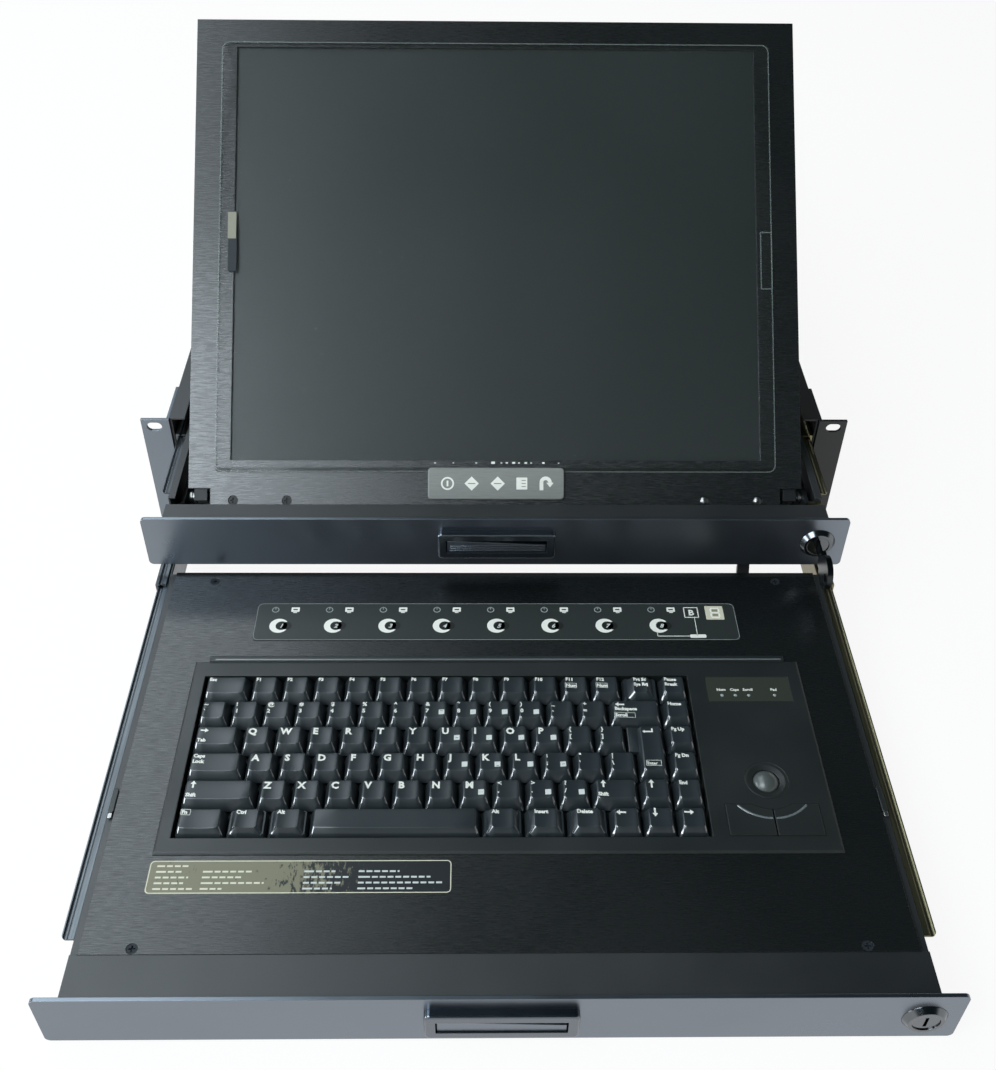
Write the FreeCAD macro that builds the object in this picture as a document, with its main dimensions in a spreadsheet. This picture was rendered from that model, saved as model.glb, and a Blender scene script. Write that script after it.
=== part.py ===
import FreeCAD, Part
import math
import os
import re
import Sketcher

# Two-unit rackmount console: an LCD drawer over a keyboard drawer in an open-topped chassis.
# The origin is the middle of the rack-ear slot pattern, on the ears' back faces.
# X runs to the right seen from the front, Y to the back of the rack, Z up. Millimetres.
# Both drawers are drawn as they stand in use: the keyboard fully out, the screen leaning back.

V = FreeCAD.Vector

# ---------------------------------------------------------------- driving dimensions

DIMENSIONS = {
    # rack ears and chassis
    "rack_width": 482.6, "ear_height": 88.1, "ear_thickness": 2.0, "ear_return": 36.0,
    "slot_spacing_x": 465.1, "slot_spacing_z": 76.2, "slot_length": 10.2, "slot_width": 6.8,
    "chassis_width": 444.0, "chassis_height": 88.0, "chassis_depth": 480.0, "chassis_wall": 1.5,
    "top_lip": 10.4, "base_thickness": 1.0, "base_rim": 4.0, "ear_gap": 0.2,
    "bracket_reach": 150.0, "rivet_radius": 2.4, "rivet_height": 0.8,
    "vent_length": 38.0, "vent_width": 6.0, "vent_rows_apart": 22.0,
    # telescopic slides
    "slide_thickness": 10.2, "slide_length": 400.0, "slide_setback": 30.0, "slide_height": 32.0,
    "slide_sheet": 1.2, "raceway": 1.8, "slide_gap": 0.3, "slide_bend": 0.8, "mid_share": 0.36,
    "groove_radius": 2.2, "groove_depth": 0.6, "rail_nose": 2.5,
    "kb_slide_z": -22.0, "lcd_slide_z": 18.0,
    # drawers
    "kb_extension": 383.2, "lcd_extension": 91.9, "closing_gap": 0.3,
    "panel_width": 447.0, "panel_height": 39.0, "panel_thickness": 2.0, "panel_corner": 3.0,
    "kb_panel_bottom": -43.9, "lcd_panel_bottom": -1.0, "tray_sheet": 1.2, "kb_depth": 289.0,
    "lcd_depth": 372.0, "kb_strip_depth": 24.4, "lcd_strip_depth": 16.0, "tray_lip": 9.0,
    "lcd_wall_height": 36.0,
    # handles and locks
    "handle_width": 75.0, "handle_height": 21.0, "handle_proud": 4.5, "handle_depth": 9.0,
    "handle_rim": 4.0, "handle_wall": 1.5, "handle_corner": 3.0,
    "lock_x": 205.5, "lock_drop": 20.0, "escutcheon_radius": 11.3, "escutcheon_face": 8.9,
    "escutcheon_proud": 3.0, "lock_radius": 9.0, "lock_depth": 18.0, "plug_radius": 7.0,
    "cam_reach": 16.2, "cam_thickness": 2.0, "keyway_height": 8.4, "keyway_width": 1.6,
    "key_sheet": 1.2, "key_blade": 7.8, "key_bow": 3.6, "key_bow_radius": 10.5,
    "key_proud": 16.0,
    # top plate, overlay and keyboard
    "plate_width": 413.0, "plate_thickness": 1.5, "plate_top": -6.5, "plate_screw_x": 180.5,
    "plate_screw_radius": 2.75,
    "overlay_width": 300.0, "overlay_depth": 31.2, "overlay_back": 28.0, "overlay_film": 0.4,
    "housing_width": 362.0, "housing_depth": 132.6, "housing_back": 77.0, "housing_rise": 1.5,
    "housing_flange": 3.0, "housing_drop": 14.0, "ridge_depth": 4.0, "ridge_rise": 1.0,
    "key_pitch": 18.2, "row_pitch": 18.4, "key_columns": 15.65, "key_gap": 0.8,
    "key_height": 7.2, "key_top": -2.2, "key_side_slope": 2.7, "key_front_slope": 3.8,
    "key_back_slope": 2.2, "key_dish": 0.5, "key_travel": 2.2, "well_margin": 0.5,
    "well_left": 8.3, "well_back": 12.2, "led_width": 49.4, "led_depth": 18.6,
    "ball_radius": 8.0, "ball_x": 147.2, "ball_front": 45.5, "ring_radius": 12.0,
    "mouse_width": 24.8, "mouse_depth": 19.0, "mouse_travel": 1.0, "mouse_gap": 16.2,
    "scoop_radius": 19.5, "seam": 0.4,
    # screen module, drawn upright about its hinge line and then leaned back
    "lcd_tilt": 45.4, "hinge_y": -53.1, "hinge_z": 18.9, "hinge_behind_face": 11.0,
    "hinge_below_edge": 5.0, "lcd_width": 402.0, "lcd_height": 316.8, "lcd_thickness": 26.0,
    "bezel_sheet": 2.0, "tab_width": 373.4, "tab_drop": 12.0, "opening_width": 348.0,
    "opening_height": 279.5, "opening_bottom": 18.5, "cover_sheet_width": 368.0,
    "cover_sheet_height": 290.5, "cover_sheet_bottom": 10.5, "cover_sheet_thickness": 1.5,
    "osd_width": 89.2, "osd_height": 21.0, "osd_drop": 7.4, "osd_thickness": 2.4,
    "tab_screw_drop": 8.0, "tab_screw_radius": 3.0,
    "pin_radius": 2.0, "knuckle_radius": 4.2, "running_fit": 0.05,
    "cover_inset": 1.0, "cover_wall": 2.0, "cover_vent_drop": 40.0, "cover_vent_rows_apart": 12.0,
    "leaf_width": 8.5, "leaf_sheet": 2.0, "leaf_clearance": 0.5,
    "leaf_length": 36.0, "bracket_sheet": 2.5, "bracket_length": 26.0,
    # switch unit behind the keyboard drawer
    "switch_width": 300.0, "switch_depth": 120.0, "switch_height": 36.0, "case_bend": 1.5, "port_pitch": 33.0,
    "port_width": 14.4, "port_height": 8.4, "port_flare": 1.1, "port_proud": 5.6, "port_z": -22.8,
    "inlet_gap": 14.5, "inlet_width": 23.0, "inlet_height": 22.5, "inlet_depth": 18.0,
    "inlet_z": -25.25, "inlet_wall": 1.5, "blade_spacing": 11.0, "window_gap": 0.1,
}

# lengths that follow from the driving dimensions, each an expression in them
DERIVED = {
    "half_chassis": "chassis_width / 2",
    "inner_half": "half_chassis - chassis_wall",
    "tray_half": "inner_half - slide_thickness",
    "kb_back": "-(ear_thickness + closing_gap + kb_extension)",
    "kb_front": "kb_back - panel_thickness",
    "lcd_back": "-(ear_thickness + closing_gap + lcd_extension)",
    "lcd_front": "lcd_back - panel_thickness",
    "kb_panel_top": "kb_panel_bottom + panel_height",
    "lcd_panel_top": "lcd_panel_bottom + panel_height",
    "kb_tray_bottom": "kb_panel_bottom + tray_sheet",
    "plate_bottom": "plate_top - plate_thickness",
    "plate_front": "kb_front + kb_strip_depth",
    "plate_back": "kb_front + kb_depth",
    "lcd_tray_bottom": "lcd_panel_bottom",
    "lcd_strip_top": "lcd_panel_top - 1.6",
    "housing_y1": "plate_back - housing_back",
    "housing_y0": "housing_y1 - housing_depth",
    "housing_top": "plate_top + housing_rise",
    "well_x0": "-housing_width / 2 + well_left - well_margin",
    "well_x1": "well_x0 + key_columns * key_pitch + 2 * well_margin",
    "well_y1": "housing_y1 - well_back + well_margin",
    "well_y0": "well_y1 - 6 * row_pitch - 2 * well_margin",
    "key_base": "key_top - key_height",
    "ball_y": "housing_y0 + ball_front",
    "ball_z": "housing_top + 3 - ball_radius",
    "face_y": "-hinge_behind_face",
    "inlet_x": "switch_width / 2 + inlet_gap + inlet_width / 2",
    "bezel_back": "bezel_sheet - hinge_behind_face",
    "lcd_rear": "lcd_thickness - hinge_behind_face",
}

doc = FreeCAD.newDocument("console_drawer")
sheet = doc.addObject("Spreadsheet::Sheet", "dims")
for row, (alias, size) in enumerate(DIMENSIONS.items(), start=1):
    sheet.set(f"A{row}", alias)
    sheet.set(f"B{row}", str(size))
    sheet.setAlias(f"B{row}", alias)
doc.recompute()

derived = doc.addObject("App::VarSet", "derived")


def link(expression):
    """Write an expression in plain aliases as one that the document understands."""
    def owner(match):
        word = match.group()
        if word in DIMENSIONS:
            return f"dims.{word}"
        if word in DERIVED:
            return f"derived.{word}"
        return word
    return re.sub(r"[a-z][a-z0-9_]*", owner, str(expression))


for name, expression in DERIVED.items():
    derived.addProperty("App::PropertyFloat", name)
    derived.setExpression(name, link(expression))
derived.recompute()
probe = doc.addObject("App::VarSet", "probe")
probe.addProperty("App::PropertyFloat", "result")


def number(expression):
    """Value of an expression now, for geometry that starts a sketch or a shape."""
    probe.setExpression("result", link(expression))
    probe.recompute()
    return probe.result


def bind(obj, **sizes):
    """Bind properties of an object to expressions in the aliases."""
    for prop, expression in sizes.items():
        obj.setExpression(prop.replace("__", "."), link(expression))


def place(obj, x="0", y="0", z="0"):
    """Bind where an object stands."""
    for axis, expression in zip("xyz", (x, y, z)):
        obj.setExpression(f"Placement.Base.{axis}", link(expression))
    return obj


# ---------------------------------------------------------------- primitives and booleans

parts = []


def keep(obj, label):
    """Name a finished sub-part and list it for export."""
    obj.Label = label
    parts.append(obj)
    return obj


def box(x, y, z):
    """Box between pairs of expressions on each axis."""
    obj = doc.addObject("Part::Box", "box")
    bind(obj, Length=f"({x[1]}) - ({x[0]})", Width=f"({y[1]}) - ({y[0]})", Height=f"({z[1]}) - ({z[0]})")
    return place(obj, x[0], y[0], z[0])


AXIS_TURN = {
    "x": FreeCAD.Rotation(V(0, 1, 0), 90),
    "y": FreeCAD.Rotation(V(1, 0, 0), -90),
    "z": FreeCAD.Rotation(),
}


def rod(axis, radius, length, at):
    """Cylinder along an axis, starting at a point."""
    obj = doc.addObject("Part::Cylinder", "rod")
    obj.Placement = FreeCAD.Placement(V(), AXIS_TURN[axis])
    bind(obj, Radius=radius, Height=length)
    return place(obj, *at)


def fuse(*shapes):
    """One solid from several."""
    obj = doc.addObject("Part::MultiFuse", "fuse")
    obj.Shapes = list(shapes)
    obj.Refine = True
    return obj


def group(*shapes):
    """Several like pieces kept as separate solids of one sub-part."""
    obj = doc.addObject("Part::Compound", "group")
    obj.Links = list(shapes)
    return obj


def cut(base, *tools):
    """Base with the tools taken away."""
    obj = doc.addObject("Part::Cut", "cut")
    obj.Base = base
    obj.Tool = tools[0] if len(tools) == 1 else group(*tools)
    obj.Refine = True
    return obj


def mirrored(source):
    """The same piece on the other side of the middle plane."""
    obj = doc.addObject("Part::Mirroring", "mirror")
    obj.Source = source
    obj.Normal = V(1, 0, 0)
    return obj


# ---------------------------------------------------------------- sketched bodies

PLANES = {"xy": ("XY_Plane", 1), "xz": ("XZ_Plane", -1), "yz": ("YZ_Plane", 1)}


def new_body(label):
    """An empty PartDesign body."""
    return doc.addObject("PartDesign::Body", label)


def new_sketch(body, plane, at):
    """Sketch on one of the body's own planes, moved along its normal to a coordinate."""
    role, sign = PLANES[plane]
    obj = body.newObject("Sketcher::SketchObject", "profile")
    origin = [feature for feature in body.Origin.OriginFeatures if feature.Role == role][0]
    obj.AttachmentSupport = [(origin, "")]
    obj.MapMode = "FlatFace"
    obj.setExpression("AttachmentOffset.Base.z", link(f"{sign} * ({at})"))
    return obj


def constrain(obj, rules):
    """Add constraints at once, then bind those that carry an expression."""
    first = len(obj.Constraints)
    obj.addConstraint([rule for rule, expression in rules])
    for index, (rule, expression) in enumerate(rules, start=first):
        if expression is not None:
            obj.setExpression(f"Constraints[{index}]", link(expression))


def pin_point(line, end, corner):
    """Rules that fix one point of a sketch element to a pair of expressions."""
    return [(Sketcher.Constraint(kind, line, end, number(expression)), expression)
            for kind, expression in zip(("DistanceX", "DistanceY"), corner)]


def polygon(obj, corners):
    """Closed outline through corners, each a pair of expressions."""
    points = [V(number(a), number(b), 0) for a, b in corners]
    first = obj.GeometryCount
    count = len(points)
    obj.addGeometry([Part.LineSegment(points[n], points[(n + 1) % count]) for n in range(count)], False)
    rules = []
    for index in range(count):
        following = first + (index + 1) % count
        rules.append((Sketcher.Constraint("Coincident", first + index, 2, following, 1), None))
        rules += pin_point(first + index, 1, corners[index])
    constrain(obj, rules)


def rectangle(obj, a, b):
    """Rectangle between two pairs of expressions."""
    polygon(obj, [(a[0], b[0]), (a[1], b[0]), (a[1], b[1]), (a[0], b[1])])


def circle(obj, a, b, radius):
    """Circle about a point."""
    index = obj.addGeometry(Part.Circle(V(number(a), number(b), 0), V(0, 0, 1), number(radius)), False)
    rules = pin_point(index, 3, (a, b))
    rules.append((Sketcher.Constraint("Radius", index, number(radius)), radius))
    constrain(obj, rules)


def slot(obj, a, b, length, width):
    """Slot with round ends along the sketch's first axis, about a middle point."""
    radius = number(f"({width}) / 2")
    half = number(f"(({length}) - ({width})) / 2")
    x, y = number(a), number(b)
    first = obj.GeometryCount
    normal = V(0, 0, 1)
    left = Part.ArcOfCircle(Part.Circle(V(x - half, y, 0), normal, radius), math.pi / 2, 1.5 * math.pi)
    right = Part.ArcOfCircle(Part.Circle(V(x + half, y, 0), normal, radius), -math.pi / 2, math.pi / 2)
    low = Part.LineSegment(V(x - half, y - radius, 0), V(x + half, y - radius, 0))
    high = Part.LineSegment(V(x + half, y + radius, 0), V(x - half, y + radius, 0))
    obj.addGeometry([left, right, low, high], False)
    joints = ((0, 2, 2, 1), (2, 2, 1, 1), (1, 2, 3, 1), (3, 2, 0, 1))
    rules = [(Sketcher.Constraint("Tangent", first + p, p_end, first + q, q_end), None)
             for p, p_end, q, q_end in joints]
    rules += pin_point(first, 3, (f"({a}) - (({length}) - ({width})) / 2", b))
    rules += pin_point(first + 1, 3, (f"({a}) + (({length}) - ({width})) / 2", b))
    rules.append((Sketcher.Constraint("Radius", first, radius), f"({width}) / 2"))
    constrain(obj, rules)


def pad(body, sketch, length):
    """Raise a sketch towards the plane's positive axis."""
    obj = body.newObject("PartDesign::Pad", "pad")
    obj.Profile = sketch
    obj.Reversed = sketch.AttachmentSupport[0][0].Role == "XZ_Plane"
    obj.setExpression("Length", link(length))
    return obj


def pocket(body, sketch, length):
    """Cut a sketch away towards the plane's positive axis."""
    obj = body.newObject("PartDesign::Pocket", "pocket")
    obj.Profile = sketch
    obj.Reversed = sketch.AttachmentSupport[0][0].Role != "XZ_Plane"
    obj.setExpression("Length", link(length))
    return obj


def repeat(body, feature, plane_axis, length, count):
    """Repeat a feature in a row along the first (H) or second (V) axis of its own sketch."""
    obj = body.newObject("PartDesign::LinearPattern", "row")
    obj.Originals = [feature]
    obj.Direction = (feature.Profile[0], [f"{plane_axis}_Axis"])
    obj.setExpression("Length", link(length))
    obj.Occurrences = count
    body.Tip = obj
    return obj


def solid(label, plane, span, outline, holes=()):
    """Body padded from an outline between two coordinates, with through holes drawn in the same sketch."""
    body = new_body(label)
    profile = new_sketch(body, plane, span[0])
    outline(profile)
    for hole in holes:
        hole(profile)
    pad(body, profile, f"({span[1]}) - ({span[0]})")
    return body


def round_edges(body, radius, chosen):
    """Fillet the edges of a body's tip that a test on each edge picks."""
    body.recompute(True)
    tip = body.Tip
    names = [f"Edge{n}" for n, edge in enumerate(tip.Shape.Edges, start=1) if chosen(edge)]
    obj = body.newObject("PartDesign::Fillet", "round")
    obj.Base = (tip, names)
    obj.setExpression("Radius", link(radius))
    return obj


def along(edge, axis):
    """Whether a straight edge runs along an axis."""
    if not isinstance(edge.Curve, Part.Line):
        return False
    direction = edge.Curve.Direction
    return abs(abs((direction.x, direction.y, direction.z)["xyz".index(axis)]) - 1) < 1e-6


# ---------------------------------------------------------------- chassis

EAR_X = ("half_chassis", "rack_width / 2")
FRAME_Z = ("-chassis_height / 2", "chassis_height / 2")
KB_LOCK_Z = "kb_panel_top - lock_drop"
LCD_LOCK_Z = "lcd_panel_top - lock_drop"


def side_frame():
    """Folded side sheet of the chassis with an inward lip along its top."""
    def section(profile):
        polygon(profile, [
            ("inner_half", FRAME_Z[0]), ("half_chassis", FRAME_Z[0]), ("half_chassis", FRAME_Z[1]),
            ("half_chassis - top_lip", FRAME_Z[1]), ("half_chassis - top_lip", f"{FRAME_Z[1]} - chassis_wall"),
            ("inner_half", f"{FRAME_Z[1]} - chassis_wall"),
        ])
    body = solid("side_frame", "xz", ("ear_gap", "chassis_depth"), section)
    # slots that the lock cams turn into when the drawers are shut
    catches = new_sketch(body, "yz", "inner_half - 1")
    cam_y = "lock_depth - ear_thickness - closing_gap"
    for height in (KB_LOCK_Z, LCD_LOCK_Z):
        rectangle(catches, (f"{cam_y} - 1", f"{cam_y} + cam_thickness + 1"), (f"{height} - 5", f"{height} + 5"))
    pocket(body, catches, "chassis_wall + 2")
    return body


def rack_ear():
    """Folded ear: a slotted front leaf and a return riveted to the side frame."""
    def section(profile):
        polygon(profile, [
            (EAR_X[0], "-ear_thickness"), (EAR_X[1], "-ear_thickness"), (EAR_X[1], "0"),
            (f"{EAR_X[0]} + ear_thickness", "0"), (f"{EAR_X[0]} + ear_thickness", "ear_return"),
            (EAR_X[0], "ear_return"),
        ])
    body = solid("rack_ear", "xy", ("-ear_height / 2", "ear_height / 2"), section)
    slots = new_sketch(body, "xz", "-ear_thickness - 1")
    for sign in ("-", ""):
        slot(slots, "slot_spacing_x / 2", f"{sign}slot_spacing_z / 2", "slot_length", "slot_width")
    pocket(body, slots, "ear_thickness + 2")
    return body


def rear_bracket():
    """Adjustable rear bracket: a slotted arm along the side frame and an ear on the rear posts."""
    reach = "(chassis_depth + bracket_reach)"
    arm_front = f"{reach} - 2 * bracket_reach"
    inner = f"{EAR_X[0]} + ear_thickness"

    def section(profile):
        polygon(profile, [
            (EAR_X[0], arm_front), (inner, arm_front), (inner, f"{reach} - ear_thickness"),
            (EAR_X[1], f"{reach} - ear_thickness"), (EAR_X[1], reach), (EAR_X[0], reach),
        ])
    body = solid("rear_bracket", "xy", ("-ear_height / 2", "ear_height / 2"), section)
    slots = new_sketch(body, "xz", f"{reach} - ear_thickness - 1")
    for sign in ("-", ""):
        slot(slots, "slot_spacing_x / 2", f"{sign}slot_spacing_z / 2", "slot_length", "slot_width")
    pocket(body, slots, "ear_thickness + 2")
    arm = new_sketch(body, "yz", f"{EAR_X[0]} - 1")
    for height in ("-ear_height / 4", "ear_height / 4"):
        slot(arm, "chassis_depth - bracket_reach / 2", height, "bracket_reach * 0.7", "slot_width")
    pocket(body, arm, "ear_thickness + 2")
    return body


def chassis_rivets():
    """Rivet heads that hold each ear return and rear arm to its side frame."""
    heads = []
    ear_face = "half_chassis + ear_thickness"
    spots = [("ear_return * 0.6", "ear_height * 0.4"), ("ear_return * 0.6", "-ear_height * 0.4")]
    spots += [("ear_return * 0.6", "ear_height * 0.13"), ("ear_return * 0.6", "-ear_height * 0.13")]
    for y, z in spots:
        head = rod("x", "rivet_radius", "rivet_height", (ear_face, y, z))
        heads += [head, mirrored(head)]
    for y in ("chassis_depth - bracket_reach * 0.75", "chassis_depth - bracket_reach * 0.25"):
        for z in ("-ear_height / 4", "ear_height / 4"):
            head = rod("x", "rivet_radius * 2", "2", (ear_face, y, z))
            heads += [head, mirrored(head)]
    return group(*heads)


def base_plate():
    """Bottom sheet with a low upturned edge inside each side frame."""
    low = FRAME_Z[0]

    rim = f"{low} + base_rim"
    top = f"{low} + base_thickness"

    def section(profile):
        polygon(profile, [
            ("-inner_half", low), ("inner_half", low), ("inner_half", rim),
            ("inner_half - base_thickness", rim), ("inner_half - base_thickness", top),
            ("base_thickness - inner_half", top), ("base_thickness - inner_half", rim), ("-inner_half", rim),
        ])
    body = solid("base_plate", "xz", ("ear_gap", "chassis_depth - chassis_wall"), section)
    # vent slots in rows
    vents = new_sketch(body, "xy", f"{low} - 1")
    for row in range(3):
        y = f"chassis_depth * 0.2 + {row} * vent_rows_apart"
        slot(vents, "-0.75 * inner_half", y, "vent_length", "vent_width")
    repeat(body, pocket(body, vents, "base_thickness + 2"), "H", "1.5 * inner_half", 7)
    return body


def rear_panel():
    """Back sheet with windows for the switch unit's sockets."""
    def outline(profile):
        rectangle(profile, ("-inner_half", "inner_half"), (f"{FRAME_Z[0]}", f"{FRAME_Z[1]} - chassis_wall"))

    def ports(profile):
        reach = "(port_height / 2 + 0.5)"
        rectangle(profile, ("-4 * port_pitch", "4 * port_pitch"), (f"port_z - {reach}", f"port_z + {reach}"))

    def inlet_window(profile):
        reach_x = "(inlet_width / 2 + window_gap)"
        reach_z = "(inlet_height / 2 + window_gap)"
        rectangle(profile, (f"inlet_x - {reach_x}", f"inlet_x + {reach_x}"),
                  (f"inlet_z - {reach_z}", f"inlet_z + {reach_z}"))

    def cable_window(profile):
        slot(profile, "0", f"{FRAME_Z[1]} - 22", "inner_half", "18")
    return solid("rear_sheet", "xz", ("chassis_depth - chassis_wall", "chassis_depth"), outline,
                 [ports, inlet_window, cable_window])


SWITCH_Z = (f"{FRAME_Z[0]} + base_thickness", f"{FRAME_Z[0]} + base_thickness + switch_height")
SWITCH_Y = ("chassis_depth - chassis_wall - switch_depth", "chassis_depth - chassis_wall")


def switch_case():
    """Steel case of the switch unit behind the keyboard drawer, with shallow vents pressed in its top."""
    body = solid("switch", "xy", SWITCH_Z,
                 lambda profile: rectangle(profile, ("-switch_width / 2", "switch_width / 2"), SWITCH_Y))
    front = SWITCH_Y[0]
    round_edges(body, "case_bend", lambda edge: along(edge, "x") and edge.CenterOfMass.y < number(front) + 1
                and edge.CenterOfMass.z > number(SWITCH_Z[1]) - 1)
    vents = new_sketch(body, "xy", f"{SWITCH_Z[1]} - case_bend")
    for row in range(2):
        back = f"({front} + switch_depth * 0.22 + {row} * switch_depth * 0.36)"
        rectangle(vents, ("-0.42 * switch_width", "vent_width / 2 - 0.42 * switch_width"),
                  (back, f"{back} + vent_length * 0.8"))
    repeat(body, pocket(body, vents, "case_bend + 1"), "H", "0.82 * switch_width", 19)
    return body


def video_ports():
    """Row of eight filled fifteen-way video sockets, each with its flared metal shell."""
    sockets = []
    low, high = "port_z - port_height / 2", "port_z + port_height / 2"
    narrow, wide = "port_width / 2", "(port_width / 2 + port_flare)"
    for index in range(8):
        x = f"({index} - 3.5) * port_pitch"

        def shell(profile, x=x):
            polygon(profile, [(f"{x} - {narrow}", low), (f"{x} + {narrow}", low),
                              (f"{x} + {wide}", high), (f"{x} - {wide}", high)])
        span = ("chassis_depth - chassis_wall", "chassis_depth + port_proud")
        sockets.append(solid("video_port", "xz", span, shell))
    return group(*sockets)


def power_inlet():
    """Appliance inlet sunk through the rear panel, with its three blades."""
    x = ("inlet_x - inlet_width / 2", "inlet_x + inlet_width / 2")
    y = ("chassis_depth - inlet_depth", "chassis_depth + inlet_wall")
    z = ("inlet_z - inlet_height / 2", "inlet_z + inlet_height / 2")
    shroud = box(x, y, z)
    mouth = box((f"{x[0]} + inlet_wall", f"{x[1]} - inlet_wall"), (f"{y[0]} + inlet_wall", f"{y[1]} + 1"),
                (f"{z[0]} + 2 * inlet_wall", f"{z[1]} - 2 * inlet_wall"))
    blades = []
    for side, rise in (("-blade_spacing / 2", "blade_spacing / 5"), ("0", "-blade_spacing / 4"),
                       ("blade_spacing / 2", "blade_spacing / 5")):
        middle = f"inlet_z + {rise}"
        blades.append(box((f"inlet_x + {side} - 1", f"inlet_x + {side} + 1"),
                          (f"{y[0]} + 1", "chassis_depth - inlet_depth / 2"), (f"{middle} - 2.5", f"{middle} + 2.5")))
    return fuse(cut(shroud, mouth), *blades)


# ---------------------------------------------------------------- telescopic slides

OUTER_Z = "slide_height / 2"
MID_Z = "(slide_height / 2 - slide_sheet - slide_gap)"
INNER_Z = "(slide_height / 2 - slide_sheet - raceway - 2 * slide_gap)"
BALL_X = "(tray_half + slide_thickness / 2)"


def channel(label, span, height, web, mouth, half, web_sheet, leg_sheet):
    """Rolled channel lying on its side: a web with rounded bends, and two legs that run to its mouth."""
    inside = f"{web} + {web_sheet}" if number(mouth) > number(web) else f"{web} - {web_sheet}"

    def section(profile):
        polygon(profile, [
            (web, f"{height} - {half}"), (mouth, f"{height} - {half}"),
            (mouth, f"{height} - {half} + {leg_sheet}"), (inside, f"{height} - {half} + {leg_sheet}"),
            (inside, f"{height} + {half} - {leg_sheet}"), (mouth, f"{height} + {half} - {leg_sheet}"),
            (mouth, f"{height} + {half}"), (web, f"{height} + {half}"),
        ])
    body = solid(label, "xz", span, section)
    bend_x = number(web)
    reach = number(half) - 0.01
    middle = number(height)
    round_edges(body, "slide_bend", lambda edge: along(edge, "y") and abs(edge.CenterOfMass.x - bend_x) < 0.01
                and abs(edge.CenterOfMass.z - middle) > reach)
    return body


def raceways(body, span, height, faces):
    """Ball grooves along both legs; a face is its half height and the side, 1 out or -1 in, it opens to."""
    grooves = new_sketch(body, "xz", f"{span[0]} - 1")
    for half, side in faces:
        offset = f"({half} + {side} * (groove_radius - groove_depth))"
        for sign in ("-", "+"):
            circle(grooves, BALL_X, f"{height} {sign} {offset}", "groove_radius")
    pocket(body, grooves, f"({span[1]}) - ({span[0]}) + 2")
    return body


def outer_rail(height):
    """Channel fixed to the side frame, with ball grooves on the inside of its legs."""
    span = ("slide_setback", "slide_setback + slide_length")
    mouth = "tray_half + 2.6"
    body = channel("rail_outer", span, height, "inner_half", mouth, OUTER_Z, "slide_sheet", "slide_sheet")
    return raceways(body, span, height, [(f"({OUTER_Z} - slide_sheet)", "-1")])


def mid_rail(height, travel):
    """Middle channel, part of the way out, with ball grooves on both sides of its legs."""
    start = f"(slide_setback - {travel} * mid_share)"
    span = (start, f"{start} + slide_length")
    web = "inner_half - slide_sheet - slide_gap"
    body = channel("rail_mid", span, height, web, "tray_half + 1.8", MID_Z, "slide_sheet", "raceway")
    return raceways(body, span, height, [(MID_Z, "1"), (f"({MID_Z} - raceway)", "-1")])


def inner_rail(height, travel):
    """Inner channel fixed to the drawer's side, with ball grooves outside its legs and a rounded nose."""
    start = f"(slide_setback - {travel})"
    span = (start, f"{start} + slide_length")
    mouth = "inner_half - 2 * slide_sheet - 2 * slide_gap"
    body = channel("rail_inner", span, height, "tray_half", mouth, INNER_Z, "slide_sheet", "slide_sheet")
    nose = (number(mouth), number(start))
    round_edges(body, "rail_nose", lambda edge: along(edge, "z") and abs(edge.CenterOfMass.x - nose[0]) < 0.01
                and abs(edge.CenterOfMass.y - nose[1]) < 0.01)
    return raceways(body, span, height, [(INNER_Z, "1")])


# ---------------------------------------------------------------- what both drawers share

def front_panel(front, bottom):
    """Drawer front with rounded corners, a handle window and a lock hole."""
    top = f"({bottom} + panel_height)"
    handle_z = f"({top} - panel_height / 2)"
    reach_z = "(handle_height / 2 - handle_rim)"

    def outline(profile):
        rectangle(profile, ("-panel_width / 2", "panel_width / 2"), (bottom, top))

    def window(profile):
        rectangle(profile, ("handle_rim - handle_width / 2", "handle_width / 2 - handle_rim"),
                  (f"{handle_z} - {reach_z}", f"{handle_z} + {reach_z}"))

    def lock_hole(profile):
        circle(profile, "lock_x", f"{top} - lock_drop", "lock_radius + 0.2")
    body = solid("front_panel", "xz", (front, f"{front} + panel_thickness"), outline, [window, lock_hole])
    edge_x = number("panel_width / 2")
    round_edges(body, "panel_corner", lambda edge: along(edge, "y")
                and abs(abs(edge.CenterOfMass.x) - edge_x) < 0.01)
    return body


def recessed_handle(front, bottom):
    """Moulded pull: a proud rim with rounded edges round a cup that passes through the front panel."""
    z = f"({bottom} + panel_height / 2)"
    x = ("-handle_width / 2", "handle_width / 2")

    def outline(profile):
        rectangle(profile, x, (f"{z} - handle_height / 2", f"{z} + handle_height / 2"))
    body = solid("handle", "xz", (f"{front} - handle_proud", front), outline)
    proud_face = number(f"{front} - handle_proud")
    round_edges(body, "handle_corner", lambda edge: along(edge, "y"))
    round_edges(body, "handle_corner / 2", lambda edge: abs(edge.BoundBox.YMin - proud_face) < 0.01
                and edge.BoundBox.YLength < 0.01)
    cup = new_sketch(body, "xz", front)
    outside = "(handle_rim + 0.3)"
    rectangle(cup, (f"{outside} - handle_width / 2", f"handle_width / 2 - {outside}"),
              (f"{z} - handle_height / 2 + {outside}", f"{z} + handle_height / 2 - {outside}"))
    pad(body, cup, "handle_depth")
    hollow = new_sketch(body, "xz", f"{front} - handle_proud - 1")
    inside = "(handle_rim + handle_wall)"
    rectangle(hollow, (f"{inside} - handle_width / 2", f"handle_width / 2 - {inside}"),
              (f"{z} - handle_height / 2 + {inside}", f"{z} + handle_height / 2 - {inside}"))
    pocket(body, hollow, "handle_proud + handle_depth - handle_wall + 1")
    rear = number(f"{front} + handle_depth - handle_wall")
    round_edges(body, "handle_corner", lambda edge: along(edge, "x") and abs(edge.CenterOfMass.y - rear) < 0.01)
    return body


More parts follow.
